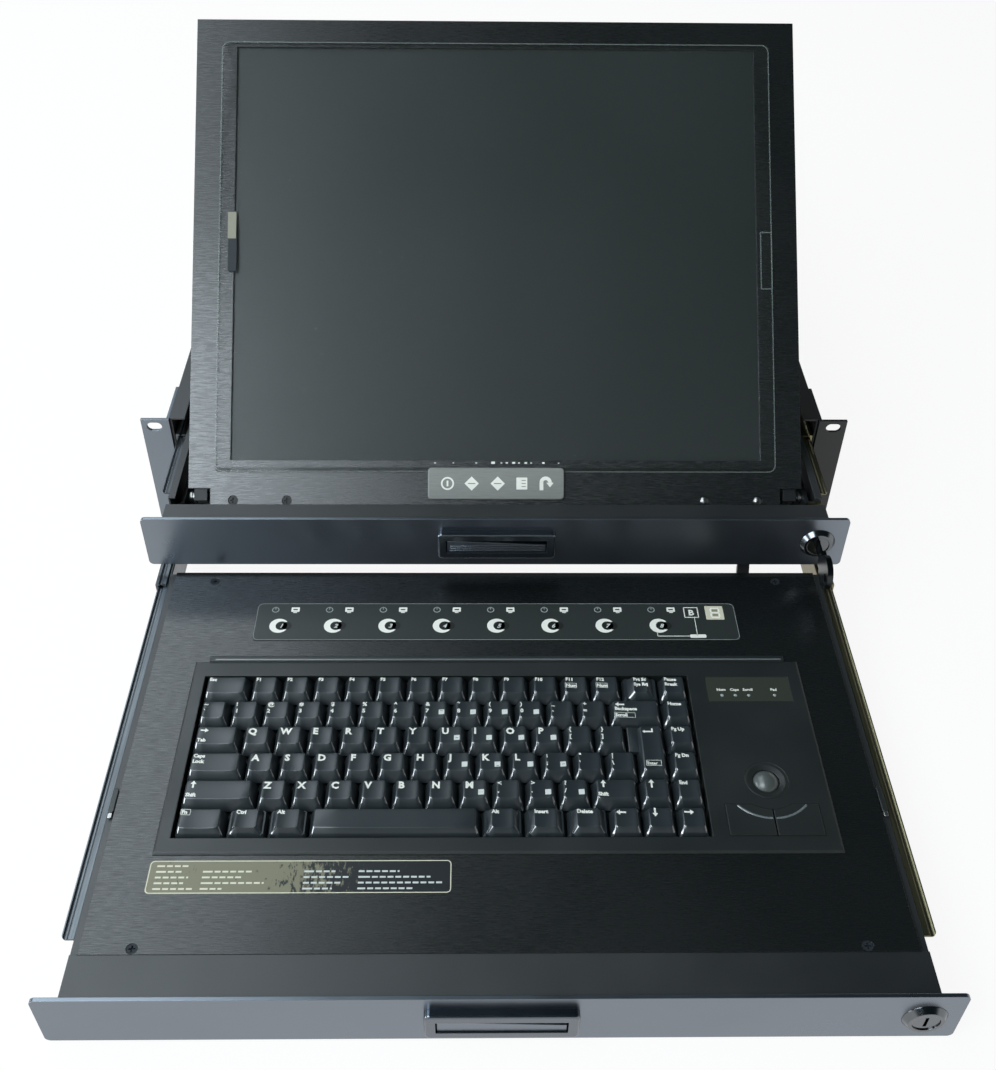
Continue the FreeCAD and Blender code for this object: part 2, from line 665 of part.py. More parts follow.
def lock_housing(front, top):
    """Lock barrel with a bevelled escutcheon, bored for the plug."""
    at_z = f"{top} - lock_drop"
    face = doc.addObject("Part::Cone", "escutcheon")
    face.Placement = FreeCAD.Placement(V(), AXIS_TURN["y"])
    bind(face, Radius1="escutcheon_face", Radius2="escutcheon_radius", Height="escutcheon_proud")
    place(face, "lock_x", f"{front} - escutcheon_proud", at_z)
    barrel = rod("y", "lock_radius", "panel_thickness + lock_depth", ("lock_x", front, at_z))
    bore = rod("y", "plug_radius", "panel_thickness + lock_depth + 6", ("lock_x", f"{front} - 4", at_z))
    return cut(fuse(face, barrel), bore)


def lock_plug(front, top):
    """Turning plug with a keyway."""
    at_z = f"({top} - lock_drop)"
    proud = "escutcheon_proud * 0.8"
    plug = rod("y", "plug_radius - running_fit", f"panel_thickness + lock_depth + {proud}",
               ("lock_x", f"{front} - {proud}", at_z))
    keyway = box(("lock_x - keyway_width / 2", "lock_x + keyway_width / 2"), (f"{front} - 4", f"{front} + 14"),
                 (f"{at_z} - keyway_height / 2", f"{at_z} + keyway_height / 2"))
    return cut(plug, keyway)


def lock_cam(front, top):
    """Cam on the back of the plug, pointing up while unlocked."""
    at_z = f"({top} - lock_drop)"
    back = f"({front} + panel_thickness + lock_depth)"
    hub = rod("y", "6", "cam_thickness", ("lock_x", back, at_z))
    arm = box(("lock_x - 4", "lock_x + 4"), (back, f"{back} + cam_thickness"), (at_z, f"{at_z} + cam_reach"))
    return fuse(hub, arm)


def lock_key(front, top):
    """Key standing in the lock: a flat blade, a shoulder and a thick moulded bow with a ring hole."""
    at_z = f"({top} - lock_drop)"
    side = "lock_x - key_bow / 2"
    bow_y = f"{front} - key_proud - key_bow_radius"
    blade = box(("lock_x - key_sheet / 2", "lock_x + key_sheet / 2"), (f"{front} - key_proud - 1", f"{front} + 12"),
                (f"{at_z} - key_blade / 2", f"{at_z} + key_blade / 2"))
    shoulder = box((side, f"{side} + key_bow"), (f"{bow_y} + 4", f"{front} - key_proud + 3"),
                   (f"{at_z} - key_blade * 0.7", f"{at_z} + key_blade * 0.7"))
    bow = rod("x", "key_bow_radius", "key_bow", (side, bow_y, at_z))
    ring_hole = rod("x", "key_bow_radius / 4", "key_bow + 2", (f"{side} - 1", f"{bow_y} - key_bow_radius / 2", at_z))
    return cut(fuse(blade, shoulder, bow), ring_hole)


def drawer_tray(label, front, back_edge, bottom, wall_top, lip, strip_depth, strip_top, posts=()):
    """Folded drawer tray: floor, side walls with in-turned lips, a front upright and a front top strip."""
    walls_from = f"({front} + panel_thickness + lock_depth + cam_thickness + 1)"
    floor = f"({bottom} + tray_sheet)"

    def section(profile):
        polygon(profile, [
            ("-tray_half", bottom), ("tray_half", bottom), ("tray_half", wall_top),
            (f"tray_half - {lip}", wall_top), (f"tray_half - {lip}", f"{wall_top} - tray_sheet"),
            ("tray_half - tray_sheet", f"{wall_top} - tray_sheet"), ("tray_half - tray_sheet", floor),
            ("tray_sheet - tray_half", floor), ("tray_sheet - tray_half", f"{wall_top} - tray_sheet"),
            (f"{lip} - tray_half", f"{wall_top} - tray_sheet"), (f"{lip} - tray_half", wall_top),
            ("-tray_half", wall_top),
        ])
    body = solid(label, "xz", (walls_from, back_edge), section)
    floor_front = new_sketch(body, "xy", bottom)
    rectangle(floor_front, ("-tray_half", "tray_half"), (f"{front} + panel_thickness", f"{walls_from} + 1"))
    pad(body, floor_front, "tray_sheet")
    upright = new_sketch(body, "xz", f"{front} + panel_thickness")
    reach = "(lock_x - lock_radius - 3)"
    rectangle(upright, (f"-{reach}", reach), (bottom, strip_top))
    middle = f"({bottom} + panel_height / 2)"
    rectangle(upright, ("2 - handle_width / 2", "handle_width / 2 - 2"),
              (f"{middle} - handle_height / 2 + 2", f"{middle} + handle_height / 2 - 2"))
    pad(body, upright, "tray_sheet")
    strip = new_sketch(body, "xy", f"{strip_top} - tray_sheet")
    rectangle(strip, ("-tray_half", "tray_half"), (f"{front} + panel_thickness", f"{front} + {strip_depth}"))
    pad(body, strip, "tray_sheet")
    if posts:
        studs = new_sketch(body, "xy", bottom)
        for x, y in posts:
            circle(studs, x, y, "4")
        pad(body, studs, f"{wall_top} - ({bottom})")
    return body


# ---------------------------------------------------------------- keyboard drawer

PLATE_SCREWS = [(x, y) for x in ("-plate_screw_x", "plate_screw_x")
                for y in ("plate_front + 3", "plate_back - 8")]


def top_plate():
    """Brushed plate over the drawer with an opening for the keyboard and countersunk screw holes."""
    def outline(profile):
        rectangle(profile, ("-plate_width / 2", "plate_width / 2"), ("plate_front", "plate_back"))

    def keyboard_opening(profile):
        margin = "(housing_flange - 0.4)"
        rectangle(profile, (f"{margin} - housing_width / 2", f"housing_width / 2 - {margin}"),
                  (f"housing_y0 + {margin}", f"housing_y1 - {margin}"))

    def screw_holes(profile):
        for x, y in PLATE_SCREWS:
            circle(profile, x, y, "plate_screw_radius + 0.15")
    return solid("top_plate", "xy", ("plate_bottom", "plate_top"), outline, [keyboard_opening, screw_holes])


def channel_overlay():
    """Printed film over the eight channel switches, with a window for the display."""
    y1 = "(plate_back - overlay_back)"
    body = solid("overlay", "xy", ("plate_top", "plate_top + overlay_film"),
                 lambda profile: rectangle(profile, ("-overlay_width / 2", "overlay_width / 2"),
                                           (f"{y1} - overlay_depth", y1)))
    round_edges(body, "2", lambda edge: along(edge, "z"))
    return body


def plate_screws():
    """Four countersunk screws that hold the top plate down."""
    return group(*[rod("z", "plate_screw_radius", "plate_thickness - 0.2", (x, y, "plate_bottom"))
                   for x, y in PLATE_SCREWS])


def frustum(low, high):
    """Block whose top rectangle differs from its bottom one; each is ((x0, x1), (y0, y1), z)."""
    wires = []
    for (x0, x1), (y0, y1), z in (low, high):
        corners = [V(x0, y0, z), V(x1, y0, z), V(x1, y1, z), V(x0, y1, z)]
        wires.append(Part.makePolygon(corners + corners[:1]))
    return Part.makeLoft(wires, True, True)


MOUSE_X = ("ball_x - mouse_width - seam", "ball_x + mouse_width + seam")
MOUSE_Y = ("ball_y - mouse_gap - mouse_depth", "ball_y - mouse_gap")
LED_X = ("ball_x - led_width / 2 + 0.7", "ball_x + led_width / 2 + 0.7")
LED_Y = ("well_y1 - led_depth - 1.2", "well_y1 - 1.2")


def keyboard_housing():
    """Moulded keyboard case: bevelled rim with a back ridge, key well, lamp window, ball and button seats."""
    x = ("-housing_width / 2", "housing_width / 2")
    y = ("housing_y0", "housing_y1")

    def rim_outline(profile):
        rectangle(profile, x, y)
    rim = solid("rim", "xy", ("plate_top", "housing_top"), rim_outline)
    top = number("housing_top")
    bevel_rim(rim, top)
    ridge = box((f"{x[0]} + 8.5", f"{x[1]} - 8.5"), (f"{y[1]} - 1", f"{y[1]} - 1 + ridge_depth"),
                ("plate_top", "housing_top + ridge_rise"))
    tub = box((f"{x[0]} + housing_flange", f"{x[1]} - housing_flange"),
              (f"{y[0]} + housing_flange", f"{y[1]} - housing_flange"),
              ("plate_top - housing_drop", "plate_top"))
    well = box(("well_x0", "well_x1"), ("well_y0", "well_y1"),
               ("key_base - key_travel - seam", "housing_top + 1"))
    lamps = box(LED_X, LED_Y, ("housing_top - 1.2", "housing_top + 1"))
    ring_seat = rod("z", "ring_radius", "20", ("ball_x", "ball_y", "housing_top - 4.2"))
    ball_seat = rod("z", "ball_radius + 0.6", "20", ("ball_x", "ball_y", "ball_z - ball_radius - 0.2"))
    buttons = box((f"{MOUSE_X[0]} - 0.3", f"{MOUSE_X[1]} + 0.3"),
                  (f"{MOUSE_Y[0]} - 0.3", f"{MOUSE_Y[1]} + 0.3"), ("housing_top - 6", "housing_top + 1"))
    collar = rod("z", "scoop_radius - 0.3", "20", ("ball_x", "ball_y", "housing_top - 10"))
    return cut(fuse(rim, ridge, tub), well, lamps, ring_seat, ball_seat, cut(buttons, collar))


def bevel_rim(rim, top):
    """Bevel the rim's outer top edges."""
    rim.recompute(True)
    tip = rim.Tip
    names = [f"Edge{n}" for n, edge in enumerate(tip.Shape.Edges, start=1)
             if abs(edge.BoundBox.ZMin - top) < 0.01 and edge.BoundBox.ZLength < 0.01]
    bevel = rim.newObject("PartDesign::Chamfer", "bevel")
    bevel.Base = (tip, names)
    bevel.setExpression("Size", link("housing_rise * 0.8"))


def keyboard_base():
    """Closing plate under the keyboard case."""
    return box(("housing_flange - housing_width / 2", "housing_width / 2 - housing_flange"),
               ("housing_y0 + housing_flange", "housing_y1 - housing_flange"),
               ("plate_top - housing_drop - tray_sheet", "plate_top - housing_drop"))


def led_window():
    """Smoked window over the four state lamps."""
    return box((f"{LED_X[0]} + 0.1", f"{LED_X[1]} - 0.1"), (f"{LED_Y[0]} + 0.1", f"{LED_Y[1]} - 0.1"),
               ("housing_top - 1.2", "housing_top - 0.1"))


def trackball_ring():
    """Dished retaining ring round the trackball."""
    ring = rod("z", "ring_radius - 0.1", "4.2", ("ball_x", "ball_y", "housing_top - 4.2"))
    dish = doc.addObject("Part::Cone", "dish")
    bind(dish, Radius1="ball_radius - 2", Radius2="ring_radius - 1", Height="1.6")
    place(dish, "ball_x", "ball_y", "housing_top - 1.4")
    room = doc.addObject("Part::Sphere", "room")
    bind(room, Radius="ball_radius + 0.3")
    place(room, "ball_x", "ball_y", "ball_z")
    mouth = rod("z", "ball_radius - 2", "6", ("ball_x", "ball_y", "housing_top - 5"))
    return cut(ring, dish, room, mouth)


def trackball():
    """Ball held under the ring."""
    ball = doc.addObject("Part::Sphere", "ball")
    bind(ball, Radius="ball_radius")
    return place(ball, "ball_x", "ball_y", "ball_z")


def mouse_button(side):
    """Button with one corner scooped round the trackball."""
    low, high = (MOUSE_X[0], "ball_x - seam") if side == "left" else ("ball_x + seam", MOUSE_X[1])
    block = box((low, high), MOUSE_Y, ("housing_top - 6 + mouse_travel + 0.2", "housing_top + 0.6"))
    scoop = rod("z", "scoop_radius", "20", ("ball_x", "ball_y", "housing_top - 10"))
    return cut(block, scoop)


# ---------------------------------------------------------------- keys

# each row from the back: key widths in columns; a pair is a key whose top is narrower than its skirt
KEY_ROWS = {
    "function_keys": [1.5] + [1] * 12 + [(1.2, 0.2), 0.95],
    "number_keys": [1] * 13 + [1.7, 0.95],
    "upper_letter_keys": [1.5] + [1] * 12 + [None, 1.2, 0.95],
    "home_letter_keys": [1.75] + [1] * 12 + [None, 0.95, 0.95],
    "lower_letter_keys": [2.25] + [1] * 10 + [1.45, 1, 0.95],
    "bottom_keys": [1.5, (1.2, 0.1), (1.2, 0.1), None, 5.05, (1.25, 0.12), (1.25, 0.12), (1.25, 0.12), 1, 1, 0.95],
}


LEDGE_SHARE = 0.45
BOTH_SIDES = 0.15


def keycap(x0, x1, y0, y1, step=0.0):
    """Sloped cap with a dished top between skirt edges; step narrows the top and leaves a low ledge."""
    gap = number("key_gap") / 2
    low = number("key_base")
    high = number("key_top")
    side = number("key_side_slope")
    front = number("key_front_slope")
    back = number("key_back_slope")
    ledge = step * number("key_pitch")
    skirt = ((x0 + gap, x1 - gap), (y0 + gap, y1 - gap), low)
    right_ledge = ledge if step < BOTH_SIDES else 0
    top = ((x0 + gap + side + ledge, x1 - gap - side - right_ledge), (y0 + gap + front, y1 - gap - back), high)
    dish = number("key_dish")
    if step:
        shelf = ((skirt[0][0] + side * LEDGE_SHARE, skirt[0][1] - side * LEDGE_SHARE),
                 (skirt[1][0] + front * LEDGE_SHARE, skirt[1][1] - back * LEDGE_SHARE),
                 low + (high - low) * LEDGE_SHARE)
        tower = ((top[0][0] - side, top[0][1] + side), skirt[1], low)
        cap = frustum(skirt, shelf).fuse(frustum(tower, top)).removeSplitter()
    else:
        cap = frustum(skirt, top)
    half = (top[0][1] - top[0][0]) / 2
    radius = (half * half + dish * dish) / (2 * dish)
    middle = (top[0][0] + top[0][1]) / 2
    hollow = Part.makeCylinder(radius, y1 - y0 + 8, V(middle, y0 - 4, high + radius - dish), V(0, 1, 0))
    return cap.cut(hollow)


def row_keys(index, widths):
    """Caps of one row; None drops the next key out of the row."""
    x = number("well_x0 + well_margin")
    y1 = number(f"well_y1 - well_margin - {index} * row_pitch")
    y0 = y1 - number("row_pitch")
    pitch = number("key_pitch")
    caps = []
    skip = False
    for width in widths:
        if width is None:
            skip = True
            continue
        columns, step = width if isinstance(width, tuple) else (width, 0.0)
        if not skip:
            caps.append(keycap(x, x + columns * pitch, y0, y1, step))
        skip = False
        x += columns * pitch
    return caps


def shape_feature(label, shape):
    """Document object for a shape worked out from the sheet's values."""
    obj = doc.addObject("Part::Feature", label)
    obj.Shape = shape
    obj.Placement = FreeCAD.Placement()
    return obj


def key_group(names):
    """Caps of the named rows as separate solids."""
    caps = []
    for index, (name, widths) in enumerate(KEY_ROWS.items()):
        if name in names:
            caps += row_keys(index, widths)
    return shape_feature(names[0], Part.makeCompound(caps))


def space_bar():
    """Long key in the bottom row."""
    pitch = number("key_pitch")
    widths = [width[0] if isinstance(width, tuple) else width for width in KEY_ROWS["bottom_keys"] if width]
    x0 = number("well_x0 + well_margin") + sum(widths[:3]) * pitch
    y0 = number("well_y0 + well_margin")
    return shape_feature("space_bar", keycap(x0, x0 + widths[3] * pitch, y0, y0 + number("row_pitch")))


def enter_key():
    """Tall key over two rows, with a low ledge beside its upper half."""
    pitch = number("key_pitch")
    x0 = number("well_x0 + well_margin") + 13.5 * pitch
    x_tall = x0 + 0.25 * pitch
    x1 = x0 + 1.2 * pitch
    y1 = number("well_y1 - well_margin - 2 * row_pitch")
    y_mid = y1 - number("row_pitch")
    y0 = y_mid - number("row_pitch")
    tall = keycap(x_tall, x1, y0, y1)
    gap = number("key_gap") / 2
    low, high = number("key_base"), number("key_top")
    ledge = frustum(((x0 + gap, x_tall + 6), (y_mid + gap, y1 - gap), low),
                    ((x0 + gap + 1, x_tall + 6), (y_mid + gap + 1, y1 - gap - 1),
                     low + (high - low) * LEDGE_SHARE))
    return shape_feature("enter_key", tall.fuse(ledge).removeSplitter())


# ---------------------------------------------------------------- screen module

EDGE = "hinge_below_edge"
NOTCH_X = "(tab_width / 2)"
LEAF_OUT = "(lcd_width / 2 - cover_inset - cover_wall - leaf_clearance)"
LEAF_X = (f"{LEAF_OUT} - leaf_width", LEAF_OUT)
TAB_SCREW_X = ("-0.46 * tab_width", "-0.366 * tab_width", "0.366 * tab_width", "0.46 * tab_width")


def lean(obj):
    """Turn a piece drawn upright about the hinge line back to where the screen stands."""
    obj.Placement = FreeCAD.Placement(V(), V(1, 0, 0), -1)
    obj.setExpression("Placement.Base.y", link("hinge_y"))
    obj.setExpression("Placement.Base.z", link("hinge_z"))
    obj.setExpression("Placement.Rotation.Angle", link("-lcd_tilt"))
    return obj


def leaned(piece):
    """The upright piece wrapped so that it can be leaned back whole."""
    return lean(group(piece))


def lcd_bezel():
    """Brushed front frame with a screen opening and a lower tab between the hinge notches."""
    def outline(profile):
        polygon(profile, [
            ("-lcd_width / 2", EDGE), (f"-{NOTCH_X}", EDGE), (f"-{NOTCH_X}", f"{EDGE} - tab_drop"),
            (NOTCH_X, f"{EDGE} - tab_drop"), (NOTCH_X, EDGE), ("lcd_width / 2", EDGE),
            ("lcd_width / 2", f"{EDGE} + lcd_height"), ("-lcd_width / 2", f"{EDGE} + lcd_height"),
        ])

    def opening(profile):
        rectangle(profile, ("-opening_width / 2", "opening_width / 2"),
                  (f"{EDGE} + opening_bottom", f"{EDGE} + opening_bottom + opening_height"))

    def screw_holes(profile):
        for x in TAB_SCREW_X:
            circle(profile, x, f"{EDGE} - tab_screw_drop", "tab_screw_radius + 0.2")
    return solid("bezel", "xz", ("face_y", "bezel_back"), outline, [opening, screw_holes])


def lcd_rear_cover():
    """Shallow shell behind the frame with rounded corners and room for the hinge leaves."""
    x = ("cover_inset - lcd_width / 2", "lcd_width / 2 - cover_inset")
    z = (f"{EDGE} + cover_inset", f"{EDGE} + lcd_height - cover_inset")
    body = solid("rear_cover", "xz", ("bezel_back", "lcd_rear"), lambda profile: rectangle(profile, x, z))
    halfway = number("lcd_height / 2")
    round_edges(body, "6", lambda edge: along(edge, "y") and edge.CenterOfMass.z > halfway)
    rear = number("lcd_rear")
    round_edges(body, "3", lambda edge: abs(edge.BoundBox.YMin - rear) < 0.01 and edge.BoundBox.YLength < 0.01)
    hollow = new_sketch(body, "xz", "bezel_back - 1")
    rectangle(hollow, (f"{x[0]} + cover_wall", f"{x[1]} - cover_wall"),
              (f"{z[0]} + cover_wall", f"{z[1]} - cover_wall"))
    pocket(body, hollow, "lcd_thickness - bezel_sheet - cover_wall + 1")
    notches = new_sketch(body, "xy", f"{z[0]} - 1")
    for sign in ("-", ""):
        middle = f"{sign}({LEAF_OUT} - leaf_width / 2)"
        reach = "(leaf_width / 2 + leaf_clearance)"
        rectangle(notches, (f"{middle} - {reach}", f"{middle} + {reach}"),
                  ("bezel_back - 1", "bezel_back + leaf_sheet + leaf_clearance"))
    pocket(body, notches, "cover_wall + 2")
    vents = new_sketch(body, "xz", "lcd_rear - 3")
    for row in range(2):
        drop = f"(cover_vent_drop + {row} * cover_vent_rows_apart)"
        slot(vents, "-0.34 * lcd_width", f"{EDGE} + lcd_height - {drop}", "24", "4")
    repeat(body, pocket(body, vents, "6"), "H", "0.68 * lcd_width", 9)
    return body


def lcd_display():
    """Display panel with its backlight inside the module."""
    return box(("-opening_width / 2 - 4", "opening_width / 2 + 4"), ("bezel_back", "bezel_back + 12"),
               (f"{EDGE} + opening_bottom - 6", f"{EDGE} + opening_bottom + opening_height + 6"))


def lcd_cover_sheet():
    """Clear sheet on the frame over the screen, notched round the control pad."""
    def outline(profile):
        rectangle(profile, ("-cover_sheet_width / 2", "cover_sheet_width / 2"),
                  (f"{EDGE} + cover_sheet_bottom", f"{EDGE} + cover_sheet_bottom + cover_sheet_height"))
    body = solid("cover_sheet", "xz", ("face_y - cover_sheet_thickness", "face_y"), outline)
    round_edges(body, "3", lambda edge: along(edge, "y"))
    notch = new_sketch(body, "xz", "face_y - cover_sheet_thickness - 1")
    rectangle(notch, ("-osd_width / 2 - seam", "osd_width / 2 + seam"),
              (f"{EDGE} + cover_sheet_bottom / 2", f"{EDGE} - osd_drop + osd_height + seam"))
    pocket(body, notch, "cover_sheet_thickness + 2")
    return body


def osd_pad():
    """Raised control pad under the screen."""
    body = solid("control_pad", "xz", ("face_y - osd_thickness", "face_y"),
                 lambda profile: rectangle(profile, ("-osd_width / 2", "osd_width / 2"),
                                           (f"{EDGE} - osd_drop", f"{EDGE} - osd_drop + osd_height")))
    round_edges(body, "2.5", lambda edge: along(edge, "y"))
    front = number("face_y - osd_thickness")
    round_edges(body, "osd_thickness / 3", lambda edge: abs(edge.BoundBox.YMin - front) < 0.01
                and edge.BoundBox.YLength < 0.01)
    return body


def hinge_leaf():
    """Leaf behind the frame with a knuckle that turns on the hinge pin."""
    leaf = box(LEAF_X, ("bezel_back", "bezel_back + leaf_sheet"), ("-3", f"{EDGE} + leaf_length"))
    neck = box(LEAF_X, ("bezel_back", "-3"), ("-3", "3"))
    knuckle = rod("x", "knuckle_radius", "leaf_width", (LEAF_X[0], "0", "0"))
    bore = rod("x", "pin_radius + running_fit", "leaf_width + 10", (f"{LEAF_X[0]} - 5", "0", "0"))
    return cut(fuse(leaf, neck, knuckle), bore)


def hinge_bracket():
    """Bracket screwed to the drawer floor, with the hinge pin."""
    floor = "(lcd_tray_bottom + tray_sheet)"
    cheek_x = ("lcd_width / 2 + 1.6", "lcd_width / 2 + 1.6 + bracket_sheet")
    y = ("hinge_y - bracket_length / 2", "hinge_y + bracket_length / 2")
    cheek = box(cheek_x, y, (floor, "hinge_z + 7"))
    foot = box((LEAF_X[0], cheek_x[1]), y, (floor, f"{floor} + tray_sheet"))
    pin_length = f"({cheek_x[1]}) - ({LEAF_X[0]}) + 2"
    pin = rod("x", "pin_radius", pin_length, (f"{LEAF_X[0]} - 2", "hinge_y", "hinge_z"))
    return fuse(cheek, foot, pin)


def module_screws():
    """Four screws that hold the frame's tab."""
    heads = []
    for x in TAB_SCREW_X:
        at = (x, "face_y + 0.4", f"{EDGE} - tab_screw_drop")
        heads.append(rod("y", "tab_screw_radius", "bezel_sheet - 0.4", at))
    return group(*heads)


# ---------------------------------------------------------------- the assembly

def build_chassis():
    frame = side_frame()
    keep(frame, "side_frame_right")
    keep(mirrored(frame), "side_frame_left")
    ear = rack_ear()
    keep(ear, "rack_ear_right")
    keep(mirrored(ear), "rack_ear_left")
    bracket = rear_bracket()
    keep(bracket, "rear_bracket_right")
    keep(mirrored(bracket), "rear_bracket_left")
    keep(chassis_rivets(), "chassis_rivets")
    keep(base_plate(), "base_plate")
    keep(rear_panel(), "rear_panel")
    keep(switch_case(), "switch_case")
    keep(video_ports(), "video_ports")
    keep(power_inlet(), "power_inlet")


def build_slides(prefix, height, travel):
    for stage, rail in (("outer", outer_rail(height)), ("mid", mid_rail(height, travel)),
                        ("inner", inner_rail(height, travel))):
        keep(rail, f"{prefix}_rail_{stage}_right")
        keep(mirrored(rail), f"{prefix}_rail_{stage}_left")


def build_front(prefix, front, bottom, top):
    keep(front_panel(front, bottom), f"{prefix}_front_panel")
    keep(recessed_handle(front, bottom), f"{prefix}_handle")
    keep(lock_housing(front, top), f"{prefix}_lock_housing")
    keep(lock_plug(front, top), f"{prefix}_lock_plug")
    keep(lock_cam(front, top), f"{prefix}_lock_cam")


def build_keyboard_drawer():
    build_slides("kb", "kb_slide_z", "kb_extension")
    build_front("kb", "kb_front", "kb_panel_bottom", "kb_panel_top")
    keep(drawer_tray("kb_tray", "kb_front", "plate_back", "kb_tray_bottom", "plate_bottom", "tray_lip",
                     "kb_strip_depth", "plate_bottom + tray_sheet", PLATE_SCREWS), "kb_tray")
    keep(top_plate(), "kb_top_plate")
    keep(plate_screws(), "plate_screws")
    keep(channel_overlay(), "channel_overlay")
    keep(keyboard_housing(), "keyboard_housing")
    keep(keyboard_base(), "keyboard_base")
    keep(led_window(), "led_window")
    keep(trackball_ring(), "trackball_ring")
    keep(trackball(), "trackball")
    for side in ("left", "right"):
        keep(mouse_button(side), f"mouse_button_{side}")
    keep(key_group(["function_keys", "number_keys"]), "upper_keys")
    keep(key_group(["upper_letter_keys", "home_letter_keys", "lower_letter_keys"]), "letter_keys")
    keep(key_group(["bottom_keys"]), "bottom_keys")
    keep(space_bar(), "space_bar")
    keep(enter_key(), "enter_key")


def build_screen_drawer():
    build_slides("lcd", "lcd_slide_z", "lcd_extension")
    build_front("lcd", "lcd_front", "lcd_panel_bottom", "lcd_panel_top")
    keep(lock_key("lcd_front", "lcd_panel_top"), "lock_key")
    keep(drawer_tray("lcd_tray", "lcd_front", "lcd_front + lcd_depth", "lcd_tray_bottom", "lcd_wall_height",
                     "tray_lip / 2", "lcd_strip_depth", "lcd_strip_top"), "lcd_tray")
    bracket = hinge_bracket()
    keep(group(bracket, mirrored(bracket)), "hinge_brackets")
    leaf = hinge_leaf()
    keep(lean(group(leaf, mirrored(leaf))), "hinge_leaves")
    for label, make in (("lcd_bezel", lcd_bezel), ("lcd_rear_cover", lcd_rear_cover), ("lcd_display", lcd_display),
                        ("lcd_cover_sheet", lcd_cover_sheet), ("osd_pad", osd_pad)):
        keep(leaned(make()), label)
    keep(lean(module_screws()), "module_screws")


def check(obj):
    """Stop if a sub-part failed, is empty or is not valid."""
    failed = [state for state in obj.State if state in ("Invalid", "Error")]
    if failed or obj.Shape.isNull() or not obj.Shape.isValid() or not obj.Shape.Solids:
        raise RuntimeError(f"{obj.Label} is broken: {obj.State}")


def export_all():
    """Check every object, then write each sub-part to its own file."""
    doc.recompute()
    for obj in doc.Objects:
        if "Invalid" in obj.State or "Error" in obj.State:
            raise RuntimeError(f"{obj.Name} ({obj.Label}) failed: {obj.State}")
    for obj in parts:
        check(obj)
    os.makedirs("parts", exist_ok=True)
    for obj in parts:
        obj.Shape.exportStep(f"parts/{obj.Label}.step")
    print(len(parts), "sub-parts written")


build_chassis()
build_keyboard_drawer()
build_screen_drawer()
export_all()
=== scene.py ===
import logging
import math
from collections.abc import Callable, Iterable
from dataclasses import dataclass, field
from enum import Enum

import bmesh
import bpy
from mathutils import Matrix, Vector


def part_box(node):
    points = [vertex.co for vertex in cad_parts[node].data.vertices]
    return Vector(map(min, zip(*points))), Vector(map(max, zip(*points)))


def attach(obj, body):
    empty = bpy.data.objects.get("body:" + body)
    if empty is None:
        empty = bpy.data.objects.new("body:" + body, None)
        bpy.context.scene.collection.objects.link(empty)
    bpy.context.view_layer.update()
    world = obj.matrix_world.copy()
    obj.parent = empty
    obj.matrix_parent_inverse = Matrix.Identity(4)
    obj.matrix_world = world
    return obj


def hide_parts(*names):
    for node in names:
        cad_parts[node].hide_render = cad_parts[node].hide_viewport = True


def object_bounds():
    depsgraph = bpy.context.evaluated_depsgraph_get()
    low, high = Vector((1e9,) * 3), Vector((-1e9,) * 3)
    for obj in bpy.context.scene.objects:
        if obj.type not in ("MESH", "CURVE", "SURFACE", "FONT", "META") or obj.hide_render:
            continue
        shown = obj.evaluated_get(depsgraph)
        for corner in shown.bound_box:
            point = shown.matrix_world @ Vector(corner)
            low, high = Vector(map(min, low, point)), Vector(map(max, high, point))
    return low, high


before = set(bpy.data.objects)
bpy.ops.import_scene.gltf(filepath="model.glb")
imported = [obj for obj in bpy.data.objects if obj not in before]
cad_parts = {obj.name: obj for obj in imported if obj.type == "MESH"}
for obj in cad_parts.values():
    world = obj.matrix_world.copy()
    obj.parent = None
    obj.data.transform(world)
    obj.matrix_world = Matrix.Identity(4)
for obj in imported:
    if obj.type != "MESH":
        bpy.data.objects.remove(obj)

logging.basicConfig(level=logging.INFO, format="%(message)s")
LOG = logging.getLogger("console_drawer")
MM = 0.001
UP = Vector((0, 0, 1))
CAD_BOX = [list(corner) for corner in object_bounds()]
# sockets of a Mix node set to colour
MIX_A, MIX_B, MIX_RESULT = 6, 7, 2
# the range that holds most values of a noise
NOISE_SPAN = (0.3, 0.7)

# bounds on one axis, a place, and short names of Blender's types
Span = tuple[float, float]
Point = tuple[float, float, float]
Mesh = bmesh.types.BMesh
Vert, Edge, Face = bmesh.types.BMVert, bmesh.types.BMEdge, bmesh.types.BMFace
Tree = bpy.types.NodeTree
Socket = bpy.types.NodeSocket


# ------------------------------------------------------------------ small helpers

def linear(code: str, gain: float = 1.0) -> tuple[float, ...]:
    """Turn an sRGB hex colour to linear values.

    Args:
        code: colour such as "#1c1e20".
        gain: factor on the three values.

    Returns:
        Red, green, blue and an alpha of 1.
    """
    shares = [int(code[start:start + 2], 16) / 255 for start in (1, 3, 5)]
    return *(gain * (s / 12.92 if s <= 0.04045 else ((s + 0.055) / 1.055) ** 2.4) for s in shares), 1.0


def mm_box(node: str) -> tuple[Vector, Vector]:
    """Lowest and highest corner of a CAD node, in millimetres."""
    low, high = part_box(node)
    return low / MM, high / MM


def add_object(name: str, data: bpy.types.ID) -> bpy.types.Object:
    """Put a new object in the scene."""
    made = bpy.data.objects.new(name, data)
    bpy.context.scene.collection.objects.link(made)
    return made


def empty_tree(owner: bpy.types.Material | bpy.types.World) -> Tree:
    """Node tree of a material or world, with nothing in it."""
    owner.use_nodes = True
    owner.node_tree.nodes.clear()
    return owner.node_tree


